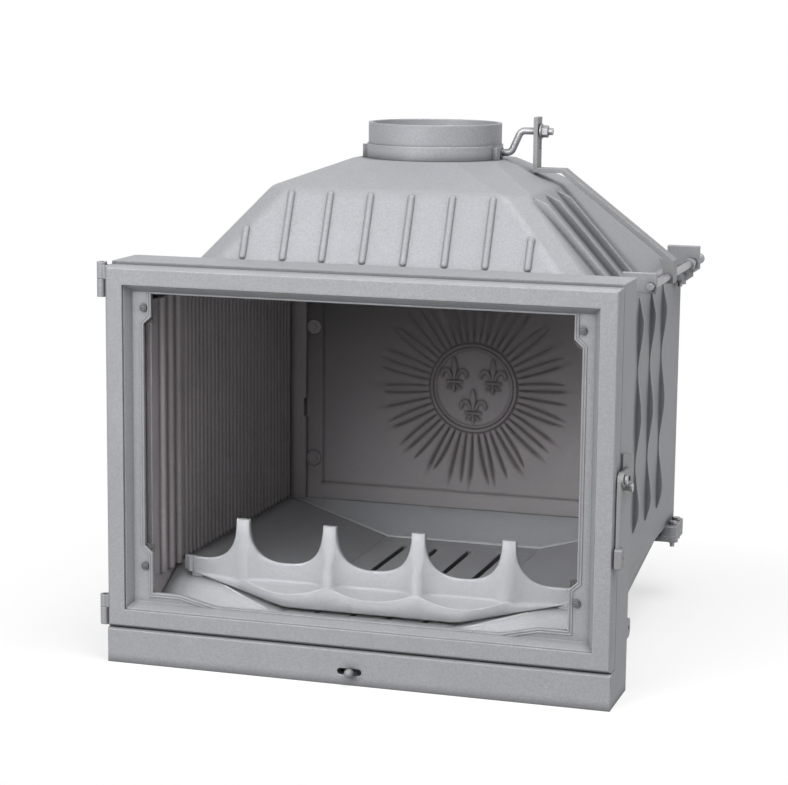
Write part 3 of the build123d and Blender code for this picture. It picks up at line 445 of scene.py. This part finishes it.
# ------------------------------------------------------------------ colours and stage settings
class IronFinish(bpy.types.PropertyGroup):
    shell: bpy.props.FloatVectorProperty(
        name="Shell", description="Colour of the outer castings", subtype="COLOR",
        default=(0.42, 0.425, 0.45), min=0, max=1)
    # painted shade: the chamber's iron is the shell's, made darker here for the dim inside of
    # the chamber, and slightly brown
    chamber: bpy.props.FloatVectorProperty(
        name="Chamber", description="Colour of the castings inside the fire chamber",
        subtype="COLOR", default=(0.28, 0.256, 0.269), min=0, max=1)
    # lighter colour for edges: partly wear, partly painted highlight
    wear_and_highlight: bpy.props.FloatVectorProperty(
        name="Worn edge", description="Colour of iron that has been rubbed bright",
        subtype="COLOR", default=(0.66, 0.665, 0.69), min=0, max=1)
    steel: bpy.props.FloatVectorProperty(
        name="Steel", description="Colour of shafts, bolts and nuts", subtype="COLOR",
        default=(0.44, 0.44, 0.455), min=0, max=1)
    roughness: bpy.props.FloatProperty(
        name="Roughness", description="Roughness of the outer castings", default=0.56,
        min=0, max=1, subtype="FACTOR")


class StudioSettings(bpy.types.PropertyGroup):
    key_watts: bpy.props.FloatProperty(
        name="Key lamp", description="Power of the large lamp at the upper left",
        default=84.0, min=0, unit="POWER")
    fill_watts: bpy.props.FloatProperty(
        name="Fill lamp", description="Power of the soft lamp in front", default=30.0, min=0,
        unit="POWER")
    top_watts: bpy.props.FloatProperty(
        name="Top lamp", description="Power of the soft lamp overhead", default=58.0, min=0,
        unit="POWER")
    sky: bpy.props.FloatProperty(
        name="Sky", description="Strength of the even light from all round", default=0.19,
        min=0, max=1)
    eye: bpy.props.FloatVectorProperty(
        name="Eye", description="Place of the camera, with depth counted from the door",
        default=(0.9248, -2.8006, 0.8937), subtype="TRANSLATION", unit="LENGTH")
    yaw: bpy.props.FloatProperty(
        name="Yaw", description="Camera's turn to the left", default=math.radians(17.232),
        subtype="ANGLE")
    pitch: bpy.props.FloatProperty(
        name="Pitch", description="Camera's tilt down", default=math.radians(9.598),
        subtype="ANGLE")
    roll: bpy.props.FloatProperty(
        name="Roll", description="Camera's lean", default=math.radians(0.603), subtype="ANGLE")
    lens: bpy.props.FloatProperty(
        name="Lens", description="Focal length in millimetres", default=105.24, min=10)


# ------------------------------------------------------------------ shell and chamber
class FIREPLACE_OT_dress_shell(bpy.types.Operator):
    """Give the outer castings and the door their sand-cast finish"""
    bl_idname = "fireplace.dress_shell"
    bl_label = "Dress Shell"

    def execute(self, context):
        finish = context.scene.iron_finish
        shell = cast_iron("shell_iron", finish.shell, finish.wear_and_highlight, toned(finish.shell, 0.8),
                          grain=0.12, roughness=finish.roughness, corner_shade_amount=0.85, reach=0.014,
                          shut=0.5)
        dress(shell, *SHELL)
        return {"FINISHED"}


class FIREPLACE_OT_dress_chamber(bpy.types.Operator):
    """Give the liners, the hearth and the small castings of the fire chamber their finishes"""
    bl_idname = "fireplace.dress_chamber"
    bl_label = "Dress Chamber"

    def execute(self, context):
        finish = context.scene.iron_finish
        stain = toned(finish.chamber, 0.7)
        # the chamber's castings, the liners and the hearth get painted shade that deepens
        # towards the back
        chamber = cast_iron("chamber_iron", finish.chamber, toned(finish.wear_and_highlight, 0.6), stain,
                            grain=0.14, roughness=0.66, edge_radius=0.0015, reach=0.014,
                            depth_shade=(-0.26, 0.1, 0.2))
        dress(chamber, *CHAMBER)
        liner = cast_iron("liner_iron", toned(finish.chamber, 1.15), toned(finish.wear_and_highlight, 0.85),
                          stain, grain=0.14, roughness=0.66, edge_radius=0.0018,
                          corner_shade_amount=1.0, reach=0.008, shut=0.72, depth_shade=(-0.26, 0.2, 0.15))
        dress(liner, *LINERS)
        hearth = cast_iron("hearth_iron", finish.shell, finish.wear_and_highlight, toned(finish.shell, 0.8),
                           grain=0.12, roughness=finish.roughness, corner_shade_amount=0.9, reach=0.02,
                           shut=0.6, depth_shade=(-0.2, -0.06, 0.12))
        dress(hearth, *HEARTH)
        # painted shade: the rear slope wears the shell's iron made darker all over, in place of
        # the hearth's shade that deepens towards the back
        slope = cast_iron("shaded_slope_iron", toned(finish.shell, 0.74), toned(finish.wear_and_highlight, 0.8),
                          toned(finish.shell, 0.6), grain=0.12, roughness=finish.roughness)
        dress(slope, "hearth_rear")
        return {"FINISHED"}


# ------------------------------------------------------------------ fireback
class FIREPLACE_OT_carve_fireback(bpy.types.Operator):
    """Make the bordered back plate with its sun and three fleurs-de-lis in low relief"""
    bl_idname = "fireplace.carve_fireback"
    bl_label = "Carve Fireback"

    def execute(self, context):
        finish = context.scene.iron_finish
        tone = [c * f for c, f in zip(finish.chamber, (0.92, 0.95, 0.94))]
        iron = cast_iron("fireback_iron", tone, toned(finish.wear_and_highlight, 0.62),
                         toned(finish.chamber, 0.7), grain=0.1, roughness=0.62,
                         edge_radius=0.0013, corner_shade_amount=0.97, reach=0.005, shut=0.72,
                         shade=fireback_shade)
        piece = new_piece("fireback_plate", carved_plate(), iron, "body")
        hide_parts("fireback")
        return {"FINISHED"}


def fireback_shade(tree, place):
    """Painted shade in the sun's grooves and, more thinly, darkening towards the plate's upper
    left part.
    """
    field_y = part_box("fireback")[0].y + FIELD
    starts, full = GROOVE_SHADE
    axes = tree.add("ShaderNodeSeparateXYZ", {0: place}).outputs
    # painted shade in the grooves of the sun
    groove = tree.band(axes["Y"], field_y - starts, field_y - full)
    height = tree.math("SUBTRACT", axes["Z"], SUN_Z)
    from_middle = tree.add("ShaderNodeCombineXYZ", {0: axes["X"], 1: height}).outputs[0]
    radius = tree.vector("LENGTH", from_middle, output="Value")
    groove = tree.math("MULTIPLY", groove, tree.band(radius, *SHADE_INNER))
    groove = tree.math("MULTIPLY", groove, tree.band(radius, *SHADE_OUTER, 0.0, 0.82))
    # darker towards the top and the left of the plate
    lean = tree.math("MULTIPLY", axes["X"], UPPER_DARK_LEAN)
    to_upper_left = tree.math("SUBTRACT", axes["Z"], lean)
    upper_dark = tree.band(to_upper_left, *UPPER_DARK_HEIGHTS, *UPPER_DARK_AMOUNTS)
    return tree.math("MAXIMUM", groove, upper_dark)


def leaf(shape, spine, widths, height, at):
    """A ridged leaf along (x, z) points; at(x, z, rise) gives a place on the plate."""
    rows = []
    for i, (x, z) in enumerate(spine):
        aim = heading(spine, i)
        row = []
        for step, share in LEAF_SECTION:
            off = widths[i] * step
            rise = height * share if share else LET_IN
            row.append(shape.verts.new(at(x + aim.y * off, z - aim.x * off, rise)))
        rows.append(row)
    turn_to_front(walls(shape, rows, closed=False, smooth=True))


def leaf_pair(shape, spine, widths, height, at):
    """A leaf and its mirror image."""
    leaf(shape, spine, widths, height, at)
    leaf(shape, [(-x, z) for x, z in spine], widths, height, at)


def fleur_de_lis(shape, x0, z0, unit, at):
    """A traditional fleur-de-lis, about 40 units wide and 50 tall, its rises in metres."""
    def place(x, z, rise):
        return at(x0 + x * unit, z0 + z * unit, rise)

    middle_leaf = [(0, -6), (0, 1), (0, 8), (0, 15), (0, 21), (0, 26)]
    leaf(shape, middle_leaf, (2.2, 3.9, 5.6, 4.8, 2.6, 0.2), 0.0038, place)
    side_leaf = [(2.5, -6), (5, 1), (8.5, 6), (13, 7.5), (17, 4.5), (18.5, -1), (16, -4)]
    leaf_pair(shape, side_leaf, (1.8, 2.6, 3.2, 3.4, 3.0, 2.4, 0.5), 0.0034, place)
    band = [(-12.5, -9.5), (-11, -9.5), (0, -9.5), (11, -9.5), (12.5, -9.5)]
    leaf(shape, band, (0.8, 2.1, 2.4, 2.1, 0.8), 0.0038, place)
    stem = [(0, -12), (0, -16), (0, -21), (0, -25)]
    leaf(shape, stem, (1.6, 3.0, 2.4, 0.2), 0.0034, place)
    tail = [(2, -12), (4.5, -16), (8, -19), (11.5, -17.5)]
    leaf_pair(shape, tail, (1.2, 2.2, 2.2, 0.5), 0.003, place)


def turned_relief(shape, radii, rise_at, segments, at):
    """Relief round the sun's middle; rise_at(radius, angle) gives its height."""
    loops = []
    for radius in radii:
        loop = []
        for i in range(segments):
            angle = 2 * math.pi * i / segments
            x, z = radius * math.sin(angle), radius * math.cos(angle)
            loop.append(shape.verts.new(at(x, z, rise_at(radius, angle))))
        loops.append(loop)
    turn_to_front(walls(shape, loops, smooth=True))


def ray_rise(radius, angle):
    """Height of the flame-like rays: a swelling cut by leaf-shaped grooves."""
    pitch = 2 * math.pi / RAYS
    deepest = 0.0
    nearest = round(angle / pitch)
    for k in (nearest - 1, nearest, nearest + 1):
        end = GROOVE_ENDS[k % len(GROOVE_ENDS)]
        t = (radius - GROOVE_START) / (end - GROOVE_START)
        if 0 < t < 1:
            bend = GROOVE_BEND * math.sin(k % RAYS * 2.4) * t * t
            half = GROOVE_WIDTH * pitch * math.sin(math.pi * t ** 0.75) ** 0.7
            off = (angle - k * pitch - bend) / max(half, 0.001)
            deepest = max(deepest, math.exp(-1.2 * off ** 2))
    return along(RAY_SWELL, radius) * (1 - GROOVE_DEPTH * deepest)


def ring_rise(radius, angle):
    """Height of the moulded ring, which is the same all round."""
    return along(RING, radius)


def carved_plate():
    """The fireback: a slab with a chamfered border, a ringed sun and fleurs-de-lis."""
    low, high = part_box("fireback")
    shape = bmesh.new()
    loops = []
    for inset, depth in ((0.0, high.y - low.y), *BORDER_SECTION):
        corners = ((low.x + inset, low.z + inset), (high.x - inset, low.z + inset),
                   (high.x - inset, high.z - inset), (low.x + inset, high.z - inset))
        loops.append([shape.verts.new((x, low.y + depth, z)) for x, z in corners])
    capped_walls(shape, loops)
    face_outward(shape)

    def at(x, z, rise):
        return (x, low.y + FIELD - rise, SUN_Z + z)

    first, last = RAY_SWELL[0][0], RAY_SWELL[-1][0]
    ray_radii = [first + (last - first) * k / RAY_ROWS for k in range(RAY_ROWS + 1)]
    turned_relief(shape, ray_radii, ray_rise, RAYS * RAY_SIDES, at)
    ring_radii = [radius for radius, rise in RING]
    turned_relief(shape, ring_radii, ring_rise, RING_SIDES, at)
    for x, z in LILIES:
        fleur_de_lis(shape, x, z, LILY_UNIT, at)
    return mesh_of(shape, "fireback_plate")


# ------------------------------------------------------------------ log bar
class FIREPLACE_OT_cast_log_bar(bpy.types.Operator):
    """Cast the log bar with its horns, pilasters, hollow bays and scallops"""
    bl_idname = "fireplace.cast_log_bar"
    bl_label = "Cast Log Bar"

    def execute(self, context):
        finish = context.scene.iron_finish
        iron = cast_iron("bar_iron", toned(finish.shell, 0.72), finish.wear_and_highlight,
                         toned(finish.shell, 0.8), grain=0.12, roughness=finish.roughness,
                         edge_radius=0.0016, corner_shade_amount=0.4, reach=0.02)
        bar = new_piece("log_bar", log_bar(), iron, "retainer")
        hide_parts("log_retainer")
        return {"FINISHED"}


def bar_foot(x):
    """Height of the bar's foot, which clears the hearth."""
    return along(FOOT_LINE, abs(x))


def bar_back(x):
    """Depth of the bar's back."""
    return along(BACK_PLAN, abs(x))


def bar_front(x, z):
    """Depth of the bar's front: leaning pilasters, and bays with a ledge at their foot."""
    face = max(along(FRONT_LEAN, z), along(FRONT_PLAN, abs(x)))
    deep, dip = bay_hollow(x, face)
    start = LEDGE_Z - LEDGE_DIP * dip
    climb = (z - start) / max(LEAST_CLIMB, LEDGE_Z - start)
    return face + deep * min(1.0, max(0.0, climb))


def bay_hollow(x, face):
    """How deep the bay is at x, and how far its ledge reaches down, as a share."""
    last_pilaster = HORNS[-1] + HORN_PITCH / 2 - BAY_HALF
    if abs(x) > last_pilaster:
        t = min(1.0, (abs(x) - last_pilaster) / (BAR_END - last_pilaster))
        return END_BAY_DEPTH * (1 - (1 - t) ** 8) * (1 - t), END_BAY_DIP * (1 - t)
    for middle in (-HORN_PITCH, 0.0, HORN_PITCH):
        t = abs(x - middle) / BAY_HALF
        if t < 1:
            return max(0.0, BAY_WALL - face) * (1 - t ** 4), 1 - t * t
    return 0.0, 0.0


def rounded_cut(middle, half, bottom, quarters):
    """Points of a steep-sided scallop from its left horn on, over one quarter or two."""
    points = []
    for i in range(quarters * CUT_STEPS + 1):
        angle = math.pi / 2 * i / CUT_STEPS
        c, s = math.cos(angle), max(0.0, math.sin(angle))
        points.append((middle - half * math.copysign(abs(c) ** CUT_POWER, c),
                       HORN_TOP - (HORN_TOP - bottom) * s ** CUT_POWER))
    return points


def bar_crest():
    """The bar's upper outline from left to right."""
    end_cut = END_CUT_X - HORNS[-1] - HORN_HALF
    right = [(HORNS[-1], HORN_TOP)]
    right += rounded_cut(END_CUT_X, end_cut, END_Z, 1)
    right += [(END_STEP_X, END_Z), (BAR_END, END_Z)]
    crest = [(-x, z) for x, z in reversed(right)]
    for left_horn, right_horn in zip(HORNS, HORNS[1:]):
        middle = (left_horn + right_horn) / 2
        crest += rounded_cut(middle, HORN_PITCH / 2 - HORN_HALF, SCALLOP_Z, 2)
        crest.append((right_horn, HORN_TOP))
    return crest + right[1:]


def bar_section(x, top, crest_x, crest_z):
    """One closed loop round the bar, from its foot up the front and down the back.

    Its rows of points lie close together where the ledge turns.
    """
    foot, back = bar_foot(x), bar_back(x)
    low = LEDGE_Z - LEDGE_DIP * bay_hollow(x, FRONT_Y)[1]
    clear = LEDGE_Z + 0.004
    heights = [foot + BAR_SOFT, low - 0.006, low - 0.002, low, low + 0.0015,
               (low + LEDGE_Z) / 2, LEDGE_Z - 0.0008, LEDGE_Z + 0.0008, clear]
    heights += [clear + (top - clear) * k / 6 for k in range(1, 7)]
    loop = [(x, bar_front(x, foot) + BAR_SOFT, foot)]
    level = foot
    for z in heights:
        level = max(z, level + LEAST_STEP)
        loop.append((x, bar_front(x, level), level))
    loop.append((crest_x, loop[-1][1] + BAR_SOFT, crest_z))
    loop.append((crest_x, back - BAR_SOFT, crest_z))
    return loop + [(x, back, top), (x, back, foot)]


def log_bar():
    """The bar along its crest, with four feet and a peg in either end."""
    crest = bar_crest()
    shape = bmesh.new()
    loops, reached = [], -1.0
    for i, (x, z) in enumerate(crest):
        aim = heading(crest, i)
        reached = min(BAR_END, max(x + aim.y * BAR_SOFT, reached + LEAST_STEP))
        section = bar_section(reached, z - aim.x * BAR_SOFT, x, z)
        loops.append([shape.verts.new((a, FACE_Y + b, c)) for a, b, c in section])
    capped_walls(shape, loops, smooth=True)
    for side in (-1, 1):
        for x, y in LEGS:
            bar_leg(shape, side * x, y)
        peg(shape, side * PEG_X)
    face_outward(shape)
    mesh = mesh_of(shape, "log_bar")
    mesh.set_sharp_from_angle(angle=math.radians(50))
    return mesh


def bar_leg(shape, x, y):
    """A small foot between the hearth and the bar."""
    corners = [(x + a * LEG_HALF_X, y + b * LEG_HALF_Y)
               for a, b in ((-1, -1), (1, -1), (1, 1), (-1, 1))]
    low = [shape.verts.new((a, FACE_Y + b, hearth_side_top(a, b) + LEG_GAP)) for a, b in corners]
    high = [shape.verts.new((a, FACE_Y + b, bar_foot(x) + LEG_ENTRY)) for a, b in corners]
    capped_walls(shape, [low, high])


def peg(shape, x):
    """A round peg that stands in the bar's end and shows a little above it."""
    height = PEG_TOP - (bar_foot(x) + 0.001)
    middle = Matrix.Translation((x, FACE_Y + PEG_Y, PEG_TOP - height / 2))
    bmesh.ops.create_cone(shape, cap_ends=True, segments=24, radius1=PEG_RADII[0],
                          radius2=PEG_RADII[1], depth=height, matrix=middle)


# ------------------------------------------------------------------ lips on the hearth
class FIREPLACE_OT_raise_hearth_lips(bpy.types.Operator):
    """Raise thin lips along the hearth's rear crease and the ridges of its front corners"""
    bl_idname = "fireplace.raise_hearth_lips"
    bl_label = "Raise Hearth Lips"

    def execute(self, context):
        finish = context.scene.iron_finish
        # painted highlight: the lips get a colour lighter than the hearth, so the crease and
        # ridges show as bright lines
        iron = cast_iron("lip_highlight_iron", toned(finish.wear_and_highlight, 0.72), finish.wear_and_highlight,
                         toned(finish.shell, 0.8), grain=0.1, roughness=finish.roughness)
        new_piece("hearth_lip", hearth_lip(), iron, "body")
        return {"FINISHED"}


def hearth_side_top(x, y):
    """Height of the hearth's sides, which slope up outward and are bevelled in front."""
    return min(along(SIDE_SLOPE, abs(x)), BEVEL_Z + BEVEL_RISE * y)


def hearth_lip():
    """Lips along the crease behind the grate and the ridges of the front corners."""
    tip_x, tip_y, tip_z = CREASE_TIP
    shape = bmesh.new()
    lip(shape, [(-tip_x, tip_y, tip_z), (-FLAT_X, FLAT_END, FLAT_Z),
                (FLAT_X, FLAT_END, FLAT_Z), (tip_x, tip_y, tip_z)], *CREASE_LIP)
    for side in (-1, 1):
        heights = [(x, along(SIDE_SLOPE, x)) for x in RIDGE_X]
        ridge = [(side * x, (z - BEVEL_Z) / BEVEL_RISE, z) for x, z in heights]
        lip(shape, ridge, *RIDGE_LIP)
    face_outward(shape)
    return mesh_of(shape, "hearth_lip")


def lip(shape, path, half, rise):
    """A rounded strip along points on the hearth; its section is (across, up)."""
    section = ((-1, -0.001), (-0.6, rise * 0.6), (0, rise), (0.6, rise), (1, -0.001))
    rows = []
    for i, (x, y, z) in enumerate(path):
        aim = heading(path, i)
        rows.append([shape.verts.new((x - aim.y * off * half, FACE_Y + y + aim.x * off * half,
                                      z + up)) for off, up in section])
    capped_walls(shape, rows)


# ------------------------------------------------------------------ fittings and door
class FIREPLACE_OT_dress_fittings(bpy.types.Operator):
    """Give levers, shafts, bolts, clip plates and the air slide their steel finishes"""
    bl_idname = "fireplace.dress_fittings"
    bl_label = "Dress Fittings"

    def execute(self, context):
        finish = context.scene.iron_finish
        forged = cast_iron("forged_steel", toned(finish.steel, 0.75), finish.wear_and_highlight,
                           toned(finish.steel, 0.6), grain=0.1, roughness=0.5,
                           edge_radius=0.0012)
        dress(forged, *FITTINGS)
        dress(bare_steel("turned_steel", finish.steel, 0.38), *BARE_STEEL)
        plates = new_piece("clip_plates", clear_of_window("glass_clips"), forged, "door")
        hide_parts("glass_clips")
        dress(bare_steel("blackened_steel", toned(finish.steel, 0.3), 0.5), "glass_bolts")
        return {"FINISHED"}


def clear_of_window(node):
    """A copy of a casting with its inner ends drawn back behind the door's corner bosses."""
    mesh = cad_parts[node].data.copy()
    mesh.name = node + "_plates"
    mesh.materials.clear()
    low, high = PLATE_GAP
    for vertex in mesh.vertices:
        if abs(vertex.co.x) < PLATE_X:
            vertex.co.x = math.copysign(PLATE_X, vertex.co.x)
        if low < vertex.co.z < high:
            vertex.co.z = low if vertex.co.z < (low + high) / 2 else high
    return mesh


class FIREPLACE_OT_bead_window(bpy.types.Operator):
    """Run a low double bead along the inner edge of the door's flange"""
    bl_idname = "fireplace.bead_window"
    bl_label = "Bead Window"

    def execute(self, context):
        new_piece("window_bead", window_bead(), bpy.data.materials["shell_iron"], "door")
        return {"FINISHED"}


def window_bead():
    """A double bead round the window, just outside its edge."""
    shape = bmesh.new()
    loops = []
    for distance, rise in BEAD:
        y = FACE_Y + FLANGE_Y - rise
        loops.append([shape.verts.new((x, y, z)) for x, z in grown(WINDOW, distance)])
    walls(shape, loops)
    face_outward(shape)
    if sum(skin.normal.y * skin.calc_area() for skin in shape.faces) > 0:
        bmesh.ops.reverse_faces(shape, faces=shape.faces[:])
    return mesh_of(shape, "window_bead")


def grown(outline, distance):
    """A closed outline moved outward by a distance, with mitred corners."""
    points = [Vector(point) for point in outline]
    result = []
    for i, point in enumerate(points):
        before = (point - points[i - 1]).normalized()
        after = (points[(i + 1) % len(points)] - point).normalized()
        out_a, out_b = Vector((before.y, -before.x)), Vector((after.y, -after.x))
        corner = (out_a + out_b).normalized()
        result.append(point + corner * (distance / max(0.3, corner.dot(out_a))))
    return result


class FIREPLACE_OT_glaze_door(bpy.types.Operator):
    """Give the pane, its gasket and the door's rope seal their materials"""
    bl_idname = "fireplace.glaze_door"
    bl_label = "Glaze Door"

    def execute(self, context):
        dress(ceramic_glass("clear_pane"), "door_glass")
        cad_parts["door_glass"].visible_shadow = False
        dress(rope_seal("flat_gasket", GASKET_GREY), "glass_gasket")
        dress(rope_seal("door_rope_seal", ROPE_GREY), "door_rope")
        return {"FINISHED"}


# ------------------------------------------------------------------ stage
class FIREPLACE_OT_set_stage(bpy.types.Operator):
    """Lay the pale floor, set the lamps and place the camera"""
    bl_idname = "fireplace.set_stage"
    bl_label = "Set Stage"

    def execute(self, context):
        studio = context.scene.studio
        lay_floor()
        light_room(studio)
        place_camera(studio)
        context.scene.view_settings.view_transform = "Standard"
        return {"FINISHED"}


def seen_directly(tree):
    """1 for rays from the camera, mirrors and glass, 0 for the light that falls on things."""
    path = tree.add("ShaderNodeLightPath").outputs
    seen = tree.math("MAXIMUM", path["Is Camera Ray"], path["Is Glossy Ray"])
    return tree.math("MAXIMUM", seen, path["Is Transmission Ray"])


def lay_floor():
    """Round white floor: it takes the shadow near the insert and fades to plain white."""
    shape = bmesh.new()
    bmesh.ops.create_circle(shape, cap_ends=True, segments=96, radius=FLOOR_RADIUS)
    mesh = mesh_of(shape, "studio_floor")
    mesh.materials.append(floor_white())
    floor = bpy.data.objects.new("studio_floor", mesh)
    bpy.context.scene.collection.objects.link(floor)


def floor_white():
    """White where it is seen, and darker for the light that it throws back on the insert."""
    tree = material_tree("floor_white")
    outside = tree.vector("SUBTRACT", tree.vector("ABSOLUTE", tree.place()), FOOTPRINT)
    outside = tree.vector("MAXIMUM", outside, (0.0, 0.0, 0.0))
    distance = tree.vector("LENGTH", outside, output="Value")
    seen = seen_directly(tree)
    paper = tree.add("ShaderNodeBsdfDiffuse",
                     {"Color": tree.band(seen, 0.0, 1.0, FLOOR_BOUNCE, FLOOR_SEEN)})
    lift = tree.add("ShaderNodeEmission", {"Color": WHITE,
                                           "Strength": tree.math("MULTIPLY", seen, FLOOR_LIFT)})
    near = tree.add("ShaderNodeAddShader", {0: paper.outputs[0], 1: lift.outputs[0]})
    far = tree.add("ShaderNodeEmission", {"Color": WHITE, "Strength": 1.0})
    away = tree.math("MULTIPLY", tree.band(distance, *SHADOW_FADE, SHADOW_CUT, 1.0), seen)
    mixed = tree.add("ShaderNodeMixShader", {0: away, 1: near.outputs[0], 2: far.outputs[0]})
    return tree.surface(mixed.outputs[0])


def light_room(studio):
    """An even sky, which is seen as plain white, and three large lamps."""
    world = bpy.data.worlds.new("studio_world")
    bpy.context.scene.world = world
    tree = Tree(world, "ShaderNodeOutputWorld")
    level = tree.band(seen_directly(tree), 0.0, 1.0, studio.sky, 1.0)
    sky = tree.add("ShaderNodeBackground", {"Color": WHITE, "Strength": level})
    tree.surface(sky.outputs[0])
    hang_lamp("key_lamp", KEY_PLACE, KEY_WIDTH, studio.key_watts)
    hang_lamp("fill_lamp", FILL_PLACE, FILL_WIDTH, studio.fill_watts)
    hang_lamp("top_lamp", TOP_PLACE, TOP_WIDTH, studio.top_watts)


def hang_lamp(name, place, width, watts):
    """A square lamp that is aimed at the middle of the insert."""
    lamp = bpy.data.lights.new(name, "AREA")
    lamp.shape = "SQUARE"
    lamp.size = width
    lamp.energy = watts
    holder = bpy.data.objects.new(name, lamp)
    holder.location = place
    sight = Vector(LAMP_AIM) - holder.location
    holder.rotation_euler = sight.to_track_quat("-Z", "Y").to_euler()
    bpy.context.scene.collection.objects.link(holder)


def place_camera(studio):
    """Turns the camera left by yaw, down by pitch and about its sight by roll."""
    sight = Vector((-math.sin(studio.yaw) * math.cos(studio.pitch),
                    math.cos(studio.yaw) * math.cos(studio.pitch), -math.sin(studio.pitch)))
    level = sight.cross(Vector((0, 0, 1))).normalized()
    upright = level.cross(sight)
    across = level * math.cos(studio.roll) + upright * math.sin(studio.roll)
    up = upright * math.cos(studio.roll) - level * math.sin(studio.roll)
    turn = Matrix((across, up, -sight)).transposed()
    lens = bpy.data.cameras.new("studio_camera")
    lens.lens = studio.lens
    lens.sensor_width = SENSOR_WIDTH
    camera = bpy.data.objects.new("studio_camera", lens)
    eye = Vector(studio.eye) + Vector((0, FACE_Y, 0))
    camera.matrix_world = Matrix.Translation(eye) @ turn.to_4x4()
    bpy.context.scene.collection.objects.link(camera)
    bpy.context.scene.camera = camera


# ------------------------------------------------------------------ add-on
class FIREPLACE_PT_panel(bpy.types.Panel):
    """The insert's finishes and stage"""
    bl_label = "Fireplace Insert"
    bl_idname = "FIREPLACE_PT_panel"
    bl_space_type = "VIEW_3D"
    bl_region_type = "UI"
    bl_category = "Fireplace"

    def draw(self, context):
        layout = self.layout
        for name in GROUPS:
            group = getattr(context.scene, name)
            box = layout.box()
            for prop in group.bl_rna.properties:
                if prop.identifier not in ("name", "rna_type"):
                    box.prop(group, prop.identifier)
        for operator in OPERATORS:
            layout.operator(operator.bl_idname)


OPERATORS = (FIREPLACE_OT_dress_shell, FIREPLACE_OT_dress_chamber,
             FIREPLACE_OT_carve_fireback, FIREPLACE_OT_cast_log_bar,
             FIREPLACE_OT_raise_hearth_lips, FIREPLACE_OT_dress_fittings,
             FIREPLACE_OT_bead_window, FIREPLACE_OT_glaze_door, FIREPLACE_OT_set_stage)
GROUPS = {"iron_finish": IronFinish, "studio": StudioSettings}
CLASSES = (*GROUPS.values(), *OPERATORS, FIREPLACE_PT_panel)


def register():
    for cls in CLASSES:
        bpy.utils.register_class(cls)
    for name, group in GROUPS.items():
        setattr(bpy.types.Scene, name, bpy.props.PointerProperty(type=group))


def unregister():
    for name in GROUPS:
        delattr(bpy.types.Scene, name)
    for cls in reversed(CLASSES):
        bpy.utils.unregister_class(cls)


def main():
    register()
    bpy.ops.fireplace.dress_shell()
    bpy.ops.fireplace.dress_chamber()
    bpy.ops.fireplace.carve_fireback()
    bpy.ops.fireplace.cast_log_bar()
    bpy.ops.fireplace.raise_hearth_lips()
    bpy.ops.fireplace.dress_fittings()
    bpy.ops.fireplace.bead_window()
    bpy.ops.fireplace.glaze_door()
    bpy.ops.fireplace.set_stage()


if __name__ == "__main__":
    main()
